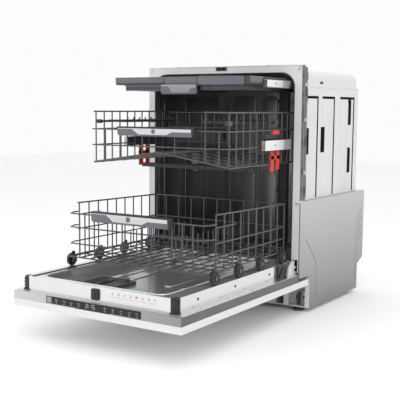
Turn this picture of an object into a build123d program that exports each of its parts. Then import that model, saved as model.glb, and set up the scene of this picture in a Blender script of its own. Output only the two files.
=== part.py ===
from build123d import *
import math
import os

os.makedirs("parts", exist_ok=True)

# ---------------------------------------------------------------- sizes, mm
# Frame: X to the right, Y into the cabinet, Z up from the floor. All is drawn
# with the front plane at Y = 0 and the open door at negative Y. The export moves
# it back, so that the origin is under the middle of the overall box.
WIDTH = 598.0              # over the lower side panels
HEIGHT = 820.0             # floor to the tabs on the top edge
SHELL_HALF = 284.0         # half width of the upper shell
DOOR_REACH = 677.0         # front plane to the free edge of the open door
DOOR_TAIL = 80.0           # the door runs this far under the tub
DISPLAY_PROUD = 0.3        # the display stands out this far

TUB_HALF = 275.0           # half width inside the tub
TUB_TOP = 796.0            # inside top
TUB_FLOOR = 168.0          # inside floor between the wheel ledges
TUB_BACK = 470.0           # inside back wall
SHELL_DEPTH = TUB_BACK + 30.0     # back of the upper shell
DEPTH = SHELL_DEPTH + 50.0        # back of the lower rear box
TUB_R = 49.0               # inside top corner radius
LEDGE = 185.4              # top of the wheel ledges, tub and door alike
SHEET = 1.0                # stainless sheet
PANEL = 1.2                # outer steel sheet

DOOR_Z0 = 96.5             # underside of the outer door panel
DOOR_Z1 = 117.0            # outer panel to control strip
DOOR_Z2 = 142.0            # control strip to inner door
BASIN_Z = 150.0            # floor of the basin in the inner door

WIRE = 2.2                 # radius of the rack wires
RAIL = 2.5                 # radius of the thicker rack wires
LR_X, LR_Y0, LR_Y1 = 255.0, -438.0, -12.0      # lower rack side wires
LR_Z0, LR_Z1 = 222.0, 382.0
LR_FRONT = -488.0                              # front grille of lower rack
UR_X, UR_Y0, UR_Y1 = 249.0, -365.0, 52.0       # upper rack
UR_Z0, UR_Z1 = 508.0, 667.0
UR_RIDGE = 546.0                               # raised middle of its floor
SPINE = 16.0                                   # half width of the floor's spine
WHEEL_R, WHEEL_Z = 19.5, 205.2
WHEEL_Y = [-458.0, -322.0, -190.0, -46.0]
PIN_R, BORE_R = 3.95, 4.0                      # wheel pin and wheel bore
TRAY_Y0, TRAY_Y1 = -250.0, 178.0
TRAY_X = 250.0
SUMP = (0.0, 235.0)                            # centre of sump and spray arms
FILTER = (40.0, 202.0)
ARM_Y = -150.0                                 # middle spray arm
SHELF_X, SHELF_Z = 238.0, 636.0                # hinge line of the cup shelves
TINE_X, TINE_Z = (-95.0, 95.0), 229.5          # hinge lines of the tine rows
GAP = 0.3                                      # clearance of moving pieces


# ------------------------------------------------------------ small helpers
def bx(x0, x1, y0, y1, z0, z1):
    """Box between two corners."""
    size = (x1 - x0, y1 - y0, z1 - z0)
    mid = ((x0 + x1) / 2, (y0 + y1) / 2, (z0 + z1) / 2)
    return Pos(*mid) * Box(*size)


def cz(x, y, z0, z1, r):
    """Upright cylinder."""
    return Pos(x, y, (z0 + z1) / 2) * Cylinder(r, z1 - z0)


def cx(x0, x1, y, z, r):
    """Cylinder along X."""
    return Pos((x0 + x1) / 2, y, z) * Rot(0, 90, 0) * Cylinder(r, x1 - x0)


def cy(x, y0, y1, z, r):
    """Cylinder along Y."""
    return Pos(x, (y0 + y1) / 2, z) * Rot(90, 0, 0) * Cylinder(r, y1 - y0)


def rod(p, q, r):
    """Straight round wire from p to q."""
    a, b = Vector(*p), Vector(*q)
    plane = Plane(origin=a, z_dir=(b - a).normalized())
    return extrude(plane * Circle(r), (b - a).length)


def wires(segments, r=WIRE):
    """Bent wire: rods end to end with a ball at each bend."""
    out = []
    for p, q in zip(segments, segments[1:]):
        out.append(rod(p, q, r))
    for p in segments[1:-1]:
        out.append(Pos(*p) * Sphere(r))
    return out


def prism(pts, axis, lo, hi):
    """Polygon pushed along one axis; pts are the two other coordinates."""
    if axis == "x":
        p3 = [(lo, a, b) for a, b in pts]
        way = (1, 0, 0)
    elif axis == "y":
        p3 = [(a, lo, b) for a, b in pts]
        way = (0, 1, 0)
    else:
        p3 = [(a, b, lo) for a, b in pts]
        way = (0, 0, 1)
    face = make_face(Polyline(*p3, close=True))
    return extrude(face, hi - lo, dir=way)


def fuse(items):
    """One solid out of a list of touching pieces."""
    items = list(items)
    return items[0].fuse(*items[1:]) if len(items) > 1 else items[0]


def mirror_x(shape):
    """The same piece on the other side."""
    return mirror(shape, about=Plane.YZ)


def round_edges(shape, axis, r, test):
    """Fillet the edges along one axis whose middle passes the test."""
    es = [e for e in shape.edges().filter_by(axis) if test(e.center())]
    return fillet(es, r)


PARTS = {}


def part(name, shape):
    """Keep a finished node."""
    PARTS[name] = shape


# ------------------------------------------------------------------ the tub
def tub():
    t = SHEET
    n = TUB_HALF
    pin = [(-n, LEDGE), (-238, LEDGE), (-232, TUB_FLOOR), (232, TUB_FLOOR)]
    pin += [(238, LEDGE), (n, LEDGE), (n, TUB_TOP), (-n, TUB_TOP)]
    m = n + t
    low = LEDGE - t
    out = [(-m, low), (-238.7, low), (-232.7, TUB_FLOOR - t), (232.7, TUB_FLOOR - t)]
    out += [(238.7, low), (m, low), (m, TUB_TOP + t), (-m, TUB_TOP + t)]
    a = prism(out, "y", 1.5, TUB_BACK + t)
    b = prism(pin, "y", 1.5, TUB_BACK)
    a = round_edges(a, Axis.Y, TUB_R + t, lambda c: c.Z > TUB_TOP - 5)
    b = round_edges(b, Axis.Y, TUB_R, lambda c: c.Z > TUB_TOP - 5)
    s = a - b
    s -= cz(SUMP[0], SUMP[1], TUB_FLOOR - 5, TUB_FLOOR + 5, 92)
    s -= cz(165, 345, TUB_FLOOR - 5, TUB_FLOOR + 5, 24)
    return s


def opening(half, z0, z1, r, y0, y1):
    """Rectangle with rounded top corners, pushed along Y."""
    s = bx(-half, half, y0, y1, z0, z1)
    return round_edges(s, Axis.Y, r, lambda c: c.Z > z1 - 1)


def front_frame():
    top = HEIGHT - 1.5
    s = bx(-297.8, 297.8, 0, 1.5, 150, top)
    s -= opening(274.2, LEDGE, 795.2, 48, -1, 3)
    for k in (-1, 1):
        x0, x1 = sorted((k * 277.5, k * 299))
        s -= bx(x0, x1, -1, 3, 149, 192)
    for k in (-1, 1):
        x0, x1 = sorted((k * 296.3, k * 297.8))
        s += bx(x0, x1, 1.5, 26, 192, top)
        s -= bx(x0 - 1, x1 + 1, 10, 16, 640, 692)
        for z in (776, 716, 560, 470, 330):
            s -= cx(x0 - 1, x1 + 1, 13, z, 3)
        s += bx(k * 175 - 8, k * 175 + 8, 4, 20, top, HEIGHT)
    s += bx(-297.8, 297.8, 1.5, 26, top - 1.5, top)
    for k in (-1, 1):
        s -= cz(k * 235, 14, top - 4, top + 1, 3.2)
    s -= bx(-17, 17, -1, 3, 805.5, 813.5)
    for k in (-1, 1):
        for z in (812, 375):
            s -= cy(k * 290.5, -1, 3, z, 2.2)
    return s


def tub_gasket():
    s = opening(TUB_HALF, 190, TUB_TOP, TUB_R, 3, 15)
    s -= opening(TUB_HALF - 3.4, 180, TUB_TOP - 3.4, TUB_R - 3.4, 2, 16)
    return s


def shell_side(k):
    """White side wall with three inverted-L grooves and four slots."""
    s = bx(TUB_HALF + SHEET, SHELL_HALF, 27, SHELL_DEPTH, 200, 752)
    d = SHELL_HALF - 3
    for y0, y1 in ((60, 157), (190, 291), (338, 465)):
        s -= bx(d, 290, y0, y1, 714, 721)
        s -= bx(d, 290, y1 - 7, y1, 386, 721)
    s -= bx(270, 290, 66, 86, 534, 614)
    s -= bx(270, 290, 184, 208, 536, 616)
    for z0 in (628, 456):
        pts = [(424, z0), (433, z0 + 3), (433, z0 + 77), (424, z0 + 80)]
        pts += [(415, z0 + 66), (415, z0 + 14)]
        s -= prism(pts, "x", 270, 290)
    return s if k > 0 else mirror_x(s)


def shell_top():
    s = bx(-SHELL_HALF, SHELL_HALF, 27, SHELL_DEPTH, 752, 805)
    s = round_edges(s, Axis.X, 38, lambda c: c.Y > SHELL_DEPTH - 1 and c.Z > 804)
    s = fillet([e for e in s.edges() if abs(e.center().X) > 283 and e.center().Z > 760
                and e.center().Y < TUB_BACK and abs(e.center().Z - 805) < 1], 24)
    i = bx(-TUB_HALF - SHEET, TUB_HALF + SHEET, 20, SHELL_DEPTH - 8, 740, TUB_TOP + SHEET)
    i = round_edges(i, Axis.X, 19, lambda c: c.Y > SHELL_DEPTH - 9 and c.Z > 796)
    i = fillet([e for e in i.edges() if abs(e.center().X) > 275 and e.center().Z > 760
                and e.center().Y < TUB_BACK and abs(e.center().Z - 797) < 1], 22)
    s -= i
    for k in (-1, 1):
        x0, x1 = sorted((k * 270, k * 290))
        s -= bx(x0, x1, 168, 190, 764, 768)
    return s


def rear_cover():
    n = TUB_HALF + SHEET
    s = bx(-n, n, SHELL_DEPTH - 6, SHELL_DEPTH, 186, 752)
    w = WIDTH / 2 - PANEL
    box = bx(-w, w, SHELL_DEPTH, DEPTH, 122, 379)
    box -= bx(-w + 1.5, w - 1.5, SHELL_DEPTH - 1, DEPTH - 1.5, 123.5, 377.5)
    s += box
    for x in range(-200, 201, 50):
        s -= bx(x - 14, x + 14, DEPTH - 2, DEPTH + 2, 300, 306)
        s -= bx(x - 14, x + 14, DEPTH - 2, DEPTH + 2, 318, 324)
    return s


def side_panel(k):
    """Lower steel panel with bent front line and slanted embossed lines."""
    pts = [(8, 379), (DEPTH, 379), (DEPTH, 131), (DEPTH - 10, 122), (SHELL_DEPTH, 106)]
    pts += [(SHELL_DEPTH, 14), (92, 14), (92, 128), (12, 128), (12, 160), (8, 160)]
    w = WIDTH / 2
    s = prism(pts, "x", w - PANEL, w)
    s += bx(SHELL_HALF, w - PANEL, 30, SHELL_DEPTH - 2, 379 - PANEL, 379)
    lines = [[(53, 255), (136, 166), (140, 45)], [(532, 310), (478, 256)]]
    lines += [[(532, 281), (478, 227)], [(532, 251), (478, 197)]]
    lines += [[(532, 222), (484, 174), (484, 50)]]
    for line in lines:
        for (ya, za), (yb, zb) in zip(line, line[1:]):
            L = math.hypot(yb - ya, zb - za)
            cut = Box(0.8, L, 2.4)
            a = math.degrees(math.atan2(zb - za, yb - ya))
            s -= Pos(w, (ya + yb) / 2, (za + zb) / 2) * Rot(a, 0, 0) * cut
    return s if k > 0 else mirror_x(s)


# ----------------------------------------------------------------- the base
INLET_R, DRAIN_R = 13.2, 10.0               # hose ports on the back
FEET = [(-250, 112), (250, 112), (-250, 470), (250, 470)]


def base_frame():
    w = WIDTH / 2 - PANEL
    s = bx(-w, w, 92, SHELL_DEPTH, 14, 17)
    s += bx(-w, w, SHELL_DEPTH - 3, SHELL_DEPTH, 17, 122)
    s += bx(-170, 170, 92, 94.5, 17, 150)
    for x in (-168.5, 168.5):
        s += bx(x - 1.5, x + 1.5, 94.5, 135, 17, 150)
    for k in (-1, 1):
        x0, x1 = sorted((k * 240, k * 248))
        s += bx(x0, x1, 135, 380, 17, 184.4)
    s -= bx(-150, 150, 90, 96, 24, 34)
    for x, y in FEET:
        s -= cz(x, y, 10, 20, 6.3)
    s += cy(-180, SHELL_DEPTH, DEPTH - 20, 70, INLET_R)
    s -= cy(-180, SHELL_DEPTH - 1, DEPTH - 10, 70, 8)
    s += cy(180, SHELL_DEPTH, DEPTH - 15, 70, DRAIN_R)
    s -= cy(180, SHELL_DEPTH - 1, DEPTH - 10, 70, 7)
    return s


def leg_brackets():
    w = WIDTH / 2 - PANEL
    s = bx(215, w, 128, 130, 17, 128)
    s += bx(213, 215, 92, 130, 17, 128)
    s += bx(203, 222, 90, 92, 17, 128)
    s += bx(w - 2, w, 92, 130, 17, 128)
    s += bx(282, w, 90, 92, 17, 128)
    s += bx(203, 215, 92, 94, 17, 128)
    for x in (235, 262):
        for z in (40, 66, 92, 114):
            s -= cy(x, 120, 140, z, 5)
    s -= bx(244, 254, 120, 140, 50, 104)
    return Compound(children=[s, mirror_x(s)])


def feet():
    out = []
    for x, y in FEET:
        s = cz(x, y, 0, 6, 20) + cz(x, y, 6, 14, 9) + cz(x, y, 14, 60, 6)
        out.append(s)
    return Compound(children=out)


def counterweight():
    s = bx(-228, 228, SHELL_DEPTH - 116, SHELL_DEPTH - 3, 17, 112)
    return round_edges(s, Axis.Z, 6, lambda c: True)


def hinges():
    """Quarter-disc cheek and the arm that carries the door."""
    z = DOOR_Z2 + SHEET
    pts = [(2, z)]
    for i in range(13):
        a = math.radians(90 + 90 * i / 12)
        pts.append((2 + 46 * math.cos(a), z + 46 * math.sin(a)))
    s = prism(pts, "x", 280, 285)
    s += bx(280, 285, 0, 125, z, z + 9)
    s += bx(280, 285, 90, 125, 128, z + 1)
    s -= cx(270, 290, -14, 158, 4)
    return Compound(children=[s, mirror_x(s)])


# ----------------------------------------------------------------- the door
def door_outer_panel():
    w = WIDTH / 2
    s = bx(-w, w, -DOOR_REACH, DOOR_TAIL, DOOR_Z0, DOOR_Z1)
    s = round_edges(s, Axis.Z, 1.5, lambda c: True)
    s -= bx(-w + 1.5, w - 1.5, -DOOR_REACH + 1.5, DOOR_TAIL - 1.5, DOOR_Z0 + 1.2, 120)
    s += bx(-w + 1.5, w - 1.5, 8, DOOR_TAIL - 1.5, DOOR_Z1 - 1.2, DOOR_Z1)
    for x in (-180, 180):
        for y in (-560, -120):
            s -= cz(x, y, 90, 100, 2.5)
    return s


def door_side_frame():
    w = 297.5
    s = bx(-w, w, -563.5, 8, DOOR_Z1, DOOR_Z2)
    s -= bx(-w + 1.5, w - 1.5, -562, 6.5, DOOR_Z1 + 1.2, 150)
    return s


def control_panel():
    w = 298.5
    s = bx(-w, w, -DOOR_REACH, -564, DOOR_Z1, DOOR_Z2)
    s -= bx(-w + 2.5, w - 2.5, -DOOR_REACH + 2.5, -560, DOOR_Z1 - 1, DOOR_Z2 - 2.5)
    s -= display_shape(0)
    return s


def display_shape(proud):
    y0 = -DOOR_REACH - proud
    pts = [(-170, 140.9), (170, 140.9), (170, 119.6), (63, 119.6), (60, 118.2)]
    pts += [(-60, 118.2), (-63, 119.6), (-170, 119.6)]
    return prism(pts, "y", y0, -DOOR_REACH + 2.5)


def touch_display():
    return display_shape(DISPLAY_PROUD)


def door_inner_panel():
    z0, z1 = DOOR_Z2, DOOR_Z2 + SHEET
    flange = bx(-297.5, 297.5, -663.5, 6, z0, z1)
    flange -= bx(-271, 271, -659, -5, z0 - 1, z1 + 1)
    pan = bx(-272, 272, -660, -4, z0, LEDGE)
    pan = round_edges(pan, Axis.Z, 10, lambda c: c.Y < -600)
    core = bx(-271, 271, -659, -5, z0 - 1, LEDGE - SHEET)
    core = round_edges(core, Axis.Z, 9, lambda c: c.Y < -600)
    pan -= core
    basin = bx(-216, 216, -641, -29, BASIN_Z, LEDGE - 0.2)
    basin = round_edges(basin, Axis.Z, 31, lambda c: True)
    well = bx(-215, 215, -640, -30, BASIN_Z + SHEET, LEDGE + 5)
    well = round_edges(well, Axis.Z, 30, lambda c: True)
    s = flange + pan + basin - well
    for k in (-1, 1):
        x0, x1 = sorted((k * 254, k * 274))
        s -= bx(x0, x1, -662, -641, z1, LEDGE + 2)
        for y in (-560, -420, -280, -140):
            s -= cz(k * 285, y, z0 - 1, z1 + 1, 2)
    s -= bx(-14, 14, -662, -658, 147, 179)
    s -= bx(-146, -84, -552, -466, BASIN_Z - 1, BASIN_Z + 2)
    return s


def corner_caps():
    c = bx(254, 272, -661, -641, DOOR_Z2 + SHEET, LEDGE - 0.1)
    c = round_edges(c, Axis.Z, 8, lambda p: p.X > 270 and p.Y < -650)
    r = bx(272, 280, -100, -46, DOOR_Z2 + SHEET, 184)
    return [c, mirror_x(c), r, mirror_x(r)]


def door_catch():
    s = bx(-14, 14, -664, -655, 147, 179)
    s = round_edges(s, Axis.Y, 6, lambda c: True)
    s -= bx(-7, 7, -670, -660, 157, 172)
    s += bx(-3, 3, -664, -659, 157, 172)
    return s


def dispenser_body():
    z = BASIN_Z + SHEET
    s = bx(-152, -22, -562, -438, z, z + 7)
    s = round_edges(s, Axis.Z, 10, lambda c: True)
    s += bx(-146, -84, -552, -466, 126, z + 1)
    s -= bx(-142, -88, -548, -470, 128, z + 9)
    s += cz(-50, -448, z + 7, z + 10, 8)
    s += bx(-146, -26, -555.5, -551.5, z + 7, z + 9)
    s += bx(-146, -26, -466.5, -462.5, z + 7, z + 9)
    return s


def dispenser_lid():
    z = BASIN_Z + SHEET + 7 + GAP
    s = bx(-144, -86, -551, -467, z, z + 4)
    s = round_edges(s, Axis.Z, 6, lambda c: True)
    s += bx(-96, -90, -530, -488, z + 4, z + 6)
    return s


def frame_latch():
    s = bx(-21, 21, -1.5, 0, 803.5, 815.5)
    s += bx(-17, 17, 0, 18, 805.5, 813.5)
    s -= bx(-12, -3, -2, 12, 807, 812)
    s -= bx(3, 12, -2, 12, 807, 812)
    return s


# ------------------------------------------------------- water and wash gear
def sump_body():
    x, y = SUMP
    s = cz(x, y, 84, 167, 95)
    s += cz(x, y, 163, 167, 108)
    s -= cz(x, y, 87, 170, 91.5)
    ring = cz(x, y, 160, 166, 92.5) - cz(x, y, 159, 168, 86)
    s += ring
    s += cz(x, y, 86, 188, 14)
    s += cz(x, y, 188, 212, 5)
    s += cz(x, y, 207.5, 212, 9)
    return s


def filter_plate():
    x, y = SUMP
    s = cz(x, y, 166, 168, 91.4) - cz(x, y, 160, 175, 14)
    s -= cz(FILTER[0], FILTER[1], 160, 175, 28.3)
    for i in range(10):
        a = math.radians(36 * i + 10)
        s -= cz(x + 74 * math.cos(a), y + 74 * math.sin(a), 160, 175, 4)
    return s


def filter_cylinder():
    x, y = FILTER
    s = cz(x, y, 100, 170.3, 28) - cz(x, y, 102, 180, 26)
    s += cz(x, y, 168.3, 170.3, 33) - cz(x, y, 160, 175, 26)
    s += bx(x - 27.5, x + 27.5, y - 3, y + 3, 164, 182)
    return s


def pump_set():
    """Wash pump with its motor on the left, drain pump on the right."""
    wash = cx(-232, -118, 235, 115, 36) + cx(-150, -112, 235, 115, 44)
    wash += cx(-112, -95, 235, 115, 16) + bx(-215, -135, 205, 265, 17, 82)
    wash -= cz(0, 235, 80, 170, 95)
    drain = cx(95, 150, 205, 62, 24) + bx(110, 140, 185, 225, 17, 40)
    drain += bx(86, 100, 196, 214, 90, 104) + bx(96, 104, 196, 214, 60, 104)
    drain -= cz(0, 235, 80, 170, 95)
    return [wash, drain]


def softener_tank():
    s = bx(112, 226, 290, 380, 60, 150)
    s = round_edges(s, Axis.Z, 12, lambda c: True)
    s += cz(165, 345, 150, 169, 24) + cz(165, 345, 168, 172, 30)
    s += cz(165, 345, 172, 184, 24) - bx(163, 167, 325, 365, 181, 190)
    s += bx(130, 210, 320, 350, 17, 61)
    return s


def water_duct():
    s = bx(-20, 20, TUB_BACK - 10, TUB_BACK, TUB_FLOOR, TUB_TOP)
    s += bx(-12, 12, SUMP[1], 461, 789.5, TUB_TOP)
    s += cz(SUMP[0], SUMP[1], 789.5, TUB_TOP, 18)
    s += cz(SUMP[0], SUMP[1], 777.5, 790, 5)
    s += cz(SUMP[0], SUMP[1], 777.5, 780, 10)
    s += bx(-14, 14, 452, 461, 500, 524)
    return s


def spray_arm(x, y, z0, z1, length, width, hub, bore):
    """Two-bladed arm with slots along its top."""
    s = bx(x - length / 2, x + length / 2, y - width / 2, y + width / 2, z0, z1)
    s = round_edges(s, Axis.Z, width * 0.45, lambda c: True)
    s += cz(x, y, z0, z1, hub)
    n = 5
    for i in range(n):
        for k in (-1, 1):
            px = x + k * (hub + 14 + i * (length / 2 - hub - 34) / (n - 1))
            s -= bx(px - 3.5, px + 3.5, y - 1.2, y + 1.2, z1 - 2, z1 + 1)
    s -= cz(x, y, z0 - 1, z1 + 1, bore)
    return s


def rack_rails():
    """Four fixed slide channels on the tub walls."""
    up = bx(270, TUB_HALF, 17, 455, 548, 586)
    up += bx(266, 270, 17, 455, 548, 551) + bx(266, 270, 17, 455, 583, 586)
    top = bx(264.5, 268.5, 17, 455, 740, 770)
    top += bx(260.5, 264.5, 17, 455, 740, 743) + bx(260.5, 264.5, 17, 455, 767, 770)
    for y in (30, 230, 430):
        top += bx(268.5, TUB_HALF, y - 12, y + 12, 740, 746)
    return Compound(children=[up, mirror_x(up), top, mirror_x(top)])


def screw(x, y, z, way):
    """Cross-head screw with its shank along the way given."""
    if way == "y":
        s = cy(x, -2.5, 0, z, 4.5) + cy(x, 0, 8, z, 2.2)
        s -= bx(x - 3, x + 3, -3, -1.3, z - 0.6, z + 0.6)
        s -= bx(x - 0.6, x + 0.6, -3, -1.3, z - 3, z + 3)
    return s


def screws():
    out = [screw(k * 290.5, 0, z, "y") for k in (-1, 1) for z in (812, 375)]
    return Compound(children=out)


# ------------------------------------------------------------ the lower rack
def lower_rack_floor():
    out = []
    z = LR_Z0
    for i in range(14):
        x = -234 + 36 * i
        out.append(rod((x, -487, z), (x, LR_Y1 - 3, z), WIRE))
    for y in (-485, -420, -368, -290, -230, -150, -100, -24):
        out.append(rod((-LR_X + RAIL, y, z - 3), (LR_X - RAIL, y, z - 3), WIRE))
    for x in TINE_X:
        for y, h in ((-420, 5), (-236, 4.5), (-30.5, 5.5)):
            out.append(bx(x - 6, x + 6, y - h, y + h, z - 2, TINE_Z + 4))
    s = fuse(out)
    for x in TINE_X:
        s -= cy(x, -440, 0, TINE_Z, RAIL + 0.1)
    return s


def tine_row(x):
    """Folding row: a long wire with upright tines."""
    out = [rod((x, -430, TINE_Z), (x, -28, TINE_Z), RAIL)]
    for i in range(12):
        y = -405 + 30 * i
        out.append(rod((x, y, TINE_Z), (x, y, TINE_Z + 68), WIRE - 0.2))
    return fuse(out)


def lower_rack_front():
    out = []
    y = LR_FRONT
    for z in (355, 313, 262):
        pts = [(-LR_X, LR_Y0, z), (-LR_X, -462, z), (-240, y, z)]
        pts += [(240, y, z), (LR_X, -462, z), (LR_X, LR_Y0, z)]
        out += wires(pts)
    for x in (-208, -187, -150, -80, -43, 28, 64, 136, 172, 208):
        out.append(rod((x, y + 3, LR_Z0 - 3 + WIRE), (x, y + 3, 356), WIRE))
    return fuse(out)


def lower_rack_side(k):
    out = []
    x = LR_X
    out.append(rod((x, LR_Y0, LR_Z1), (x, LR_Y1, LR_Z1 - 8), RAIL))
    for z in (300, 262):
        out.append(rod((x, LR_Y0, z), (x, LR_Y1, z), WIRE))
    out.append(rod((x, LR_Y0, 345), (x, -330, 345), WIRE))
    out.append(rod((x, -488, LR_Z0 - 2.5), (x, LR_Y1, LR_Z0 - 2.5), RAIL))
    for i in range(10):
        y = LR_Y0 + 3 + i * (LR_Y1 - LR_Y0 - 6) / 9
        top = LR_Z1 - 8 * (y - LR_Y0) / (LR_Y1 - LR_Y0)
        out.append(rod((x - 3, y, LR_Z0 - 2.5), (x - 3, y, top), WIRE))
    for y in WHEEL_Y:
        out.append(bx(x - 4, x + 1.5, y - 9, y + 9, 197, LR_Z0))
        out.append(cx(x - 4, 259.7, y, WHEEL_Z, 6.5))
        out.append(cx(x, 271, y, WHEEL_Z, PIN_R))
        out.append(cx(269.3, 271, y, WHEEL_Z, 6.0))
    s = fuse(out)
    return s if k > 0 else mirror_x(s)


def lower_rack_rear():
    out = []
    y = LR_Y1
    for z in (LR_Z0 + 8, 300, 374):
        out.append(rod((-249.8, y - 4, z), (249.8, y - 4, z), WIRE))
    for i in range(9):
        x = -209 + 52.25 * i
        out.append(rod((x, y - 7, LR_Z0 + WIRE), (x, y - 7, 374), WIRE))
    return fuse(out)


def wheel(x0, y):
    s = cx(x0, x0 + 9, y, WHEEL_Z, WHEEL_R)
    s -= cx(x0 + 6.5, x0 + 10, y, WHEEL_Z, 14)
    s -= cx(x0 - 1, x0 + 2, y, WHEEL_Z, 14)
    s += cx(x0, x0 + 9, y, WHEEL_Z, 8)
    for i in range(5):
        a = math.radians(72 * i)
        s -= cx(x0 - 1, x0 + 10, y + 11 * math.cos(a), WHEEL_Z + 11 * math.sin(a), 1.8)
    s -= cx(x0 - 2, x0 + 12, y, WHEEL_Z, BORE_R)
    return s


def wheel_pair(y):
    w = wheel(260, y)
    return Compound(children=[w, mirror_x(w)])


def handle(half, y0, y1, z0, z1):
    """Grip bar: front face, top shelf and two closed ends."""
    s = bx(-half, half, y0, y0 + 3.5, z0, z1)
    s += bx(-half, half, y0, y1, z1 - 4, z1)
    s += bx(-half, -half + 4, y0, y1, z0, z1) + bx(half - 4, half, y0, y1, z0, z1)
    return s


# ------------------------------------------------------------ the upper rack
def roof_z(x):
    """Height of the upper rack floor wires at x."""
    return UR_RIDGE - (UR_RIDGE - UR_Z0) * abs(x) / UR_X


def upper_rack_floor():
    """Roof-shaped floor: two slopes, and the spine that carries the arm's pivot."""
    out = []
    for i in range(13):
        x = -228 + 38 * i
        z = roof_z(x)
        out.append(rod((x, UR_Y0 + WIRE, z), (x, UR_Y1 - 3, z), WIRE))
    e = UR_X - RAIL
    for y in (-340, -290, -225, -165, -95, -15, 30):
        pts = [(-e, y, UR_Z0 - 1), (-238, y, UR_Z0 - 1), (0, y, UR_RIDGE - 3)]
        pts += [(238, y, UR_Z0 - 1), (e, y, UR_Z0 - 1)]
        out += wires(pts)
    out.append(cz(0, ARM_Y, 500, UR_RIDGE - 3, 15))
    out.append(cz(0, ARM_Y, 478, 502, 5))
    out.append(cz(0, ARM_Y, 478, 482, 10))
    out.append(cy(0, ARM_Y, 58, 512, 9))
    s = fuse(out)
    side = bx(-300, -SPINE, -500, 200, 400, 700)
    return s & side, s & mirror_x(side), s - side - mirror_x(side)


def upper_rack_front():
    out = []
    y = UR_Y0
    out += wires([(-UR_X, y, UR_Z0), (0, y, UR_RIDGE), (UR_X, y, UR_Z0)])
    for z in (612, 562):
        out.append(rod((-254, y, z), (251, y, z), WIRE))
    for x in (-205, -143, -60, 60, 168, 215):
        top = 667 if x == 168 else 612
        out.append(rod((x, y + 3, roof_z(x)), (x, y + 3, top), WIRE))
    out.append(rod((165, y, 667), (251, y, 667), WIRE))
    return fuse(out)


def upper_rack_side(k):
    out = []
    x = UR_X
    y0 = UR_Y0 + WIRE
    out.append(rod((x, y0, UR_Z1), (x, UR_Y1, UR_Z1), RAIL))
    for z in (612, 562):
        out.append(rod((x, y0, z), (x, UR_Y1, z), WIRE))
    out.append(rod((x, y0, UR_Z0 - 1), (x, UR_Y1, UR_Z0 - 1), RAIL))
    for i in range(11):
        y = UR_Y0 + 7 + i * (UR_Y1 - UR_Y0 - 10) / 10
        out.append(rod((x - 3, y, UR_Z0 - 3), (x - 3, y, UR_Z1), WIRE))
    for ya, yb in ((-361, -342), (-77, -58)):
        out.append(bx(233, 246, ya, yb, SHELF_Z - 6, SHELF_Z + 6))
    s = fuse(out)
    s -= cy(SHELF_X, -400, 0, SHELF_Z, 3.55)
    return s if k > 0 else mirror_x(s)


def upper_rack_rear():
    out = []
    y = UR_Y1 - 4
    e = UR_X - 3 - WIRE
    for z in (562, 612, 664):
        out.append(rod((-e, y, z), (e, y, z), WIRE))
    for i in range(9):
        x = -209 + 52.25 * i
        out.append(rod((x, y - 3, roof_z(x) + WIRE), (x, y - 3, 664), WIRE))
    return fuse(out)


def cup_shelf(k):
    """Comb shelf on a long hinge wire beside the rack wall."""
    out = [rod((SHELF_X, -358, SHELF_Z), (SHELF_X, -60, SHELF_Z), 3.5)]
    out.append(bx(SHELF_X - 22, SHELF_X, -340, -80, SHELF_Z - 2, SHELF_Z + 2))
    out.append(bx(SHELF_X - 96, SHELF_X - 86, -340, -80, SHELF_Z - 2, SHELF_Z + 2))
    for i in range(9):
        y = -336 + 30.8 * i
        out.append(bx(SHELF_X - 90, SHELF_X - 18, y, y + 7, SHELF_Z - 2, SHELF_Z + 2))
    for i in range(4):
        y = -300 + 60 * i
        out.append(bx(SHELF_X - 62, SHELF_X - 54, y - 32, y + 32, SHELF_Z - 2, SHELF_Z + 2))
    s = fuse(out)
    return s if k > 0 else mirror_x(s)


def height_adjusters():
    """Red lever blocks on both sides, with the shelf pivots."""
    s = bx(252, 256, -170, -60, 520, 600)
    s += bx(251.2, 252, -166, -64, 606.6, 612.3) + bx(251.2, 256, -160, -130, 600, 612)
    s += bx(251.2, 256, -100, -70, 600, 612)
    s += bx(252, 256, -150, -118, 480, 521) + bx(252, 256, -104, -84, 486, 521)
    s += bx(251.5, 256, -166, -64, 520, 524)
    return Compound(children=[s, mirror_x(s)])


def upper_rack_slides():
    """Inner slide bars that carry the upper rack."""
    s = bx(256, 258, -182, 30, 552, 582)
    s += bx(258, 269.4, -182, -178, 552, 582)
    s += bx(258, 265.4, -178, 60, 555, 557) + bx(258, 265.4, -178, 60, 577, 579)
    s += bx(264.5, 269.6, -178, 60, 551.4, 582.6)
    s -= cx(250, 280, -120, 567, 3)
    return Compound(children=[s, mirror_x(s)])


# ----------------------------------------------------------- the cutlery tray
def cutlery_tray():
    """Three shallow wells side by side in one frame."""
    y0, y1 = TRAY_Y0, TRAY_Y1
    s = bx(-TRAY_X, TRAY_X, y0, y1, 752, 776)
    s -= bx(-TRAY_X + 2.5, -62, y0 + 2.5, y1 - 2.5, 754, 780)
    s -= bx(-57, 60, y0 + 2.5, y1 - 2.5, 754, 780)
    s -= bx(65, TRAY_X - 2.5, y0 + 2.5, y1 - 2.5, 754, 780)
    low = bx(-214, -70, y0 + 6, y1 - 20, 734, 753)
    s += low
    s -= bx(-211.5, -72.5, y0 + 8.5, y1 - 22.5, 736, 760)
    grip = bx(-66, 68, y0 - 6, y0, 722, 752) + bx(-66, 68, y0 - 6, y0 + 14, 750, 753)
    s += grip
    for x0, x1 in ((-205, -80), (-50, 53), (75, 240)):
        zb = 733 if x0 < -100 else 751
        n = int((x1 - x0) // 12)
        for i in range(0, n):
            s -= bx(x0 + 12 * i, x0 + 12 * i + 7, y0 + 20, y1 - 40, zb, zb + 4)
    return s


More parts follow.
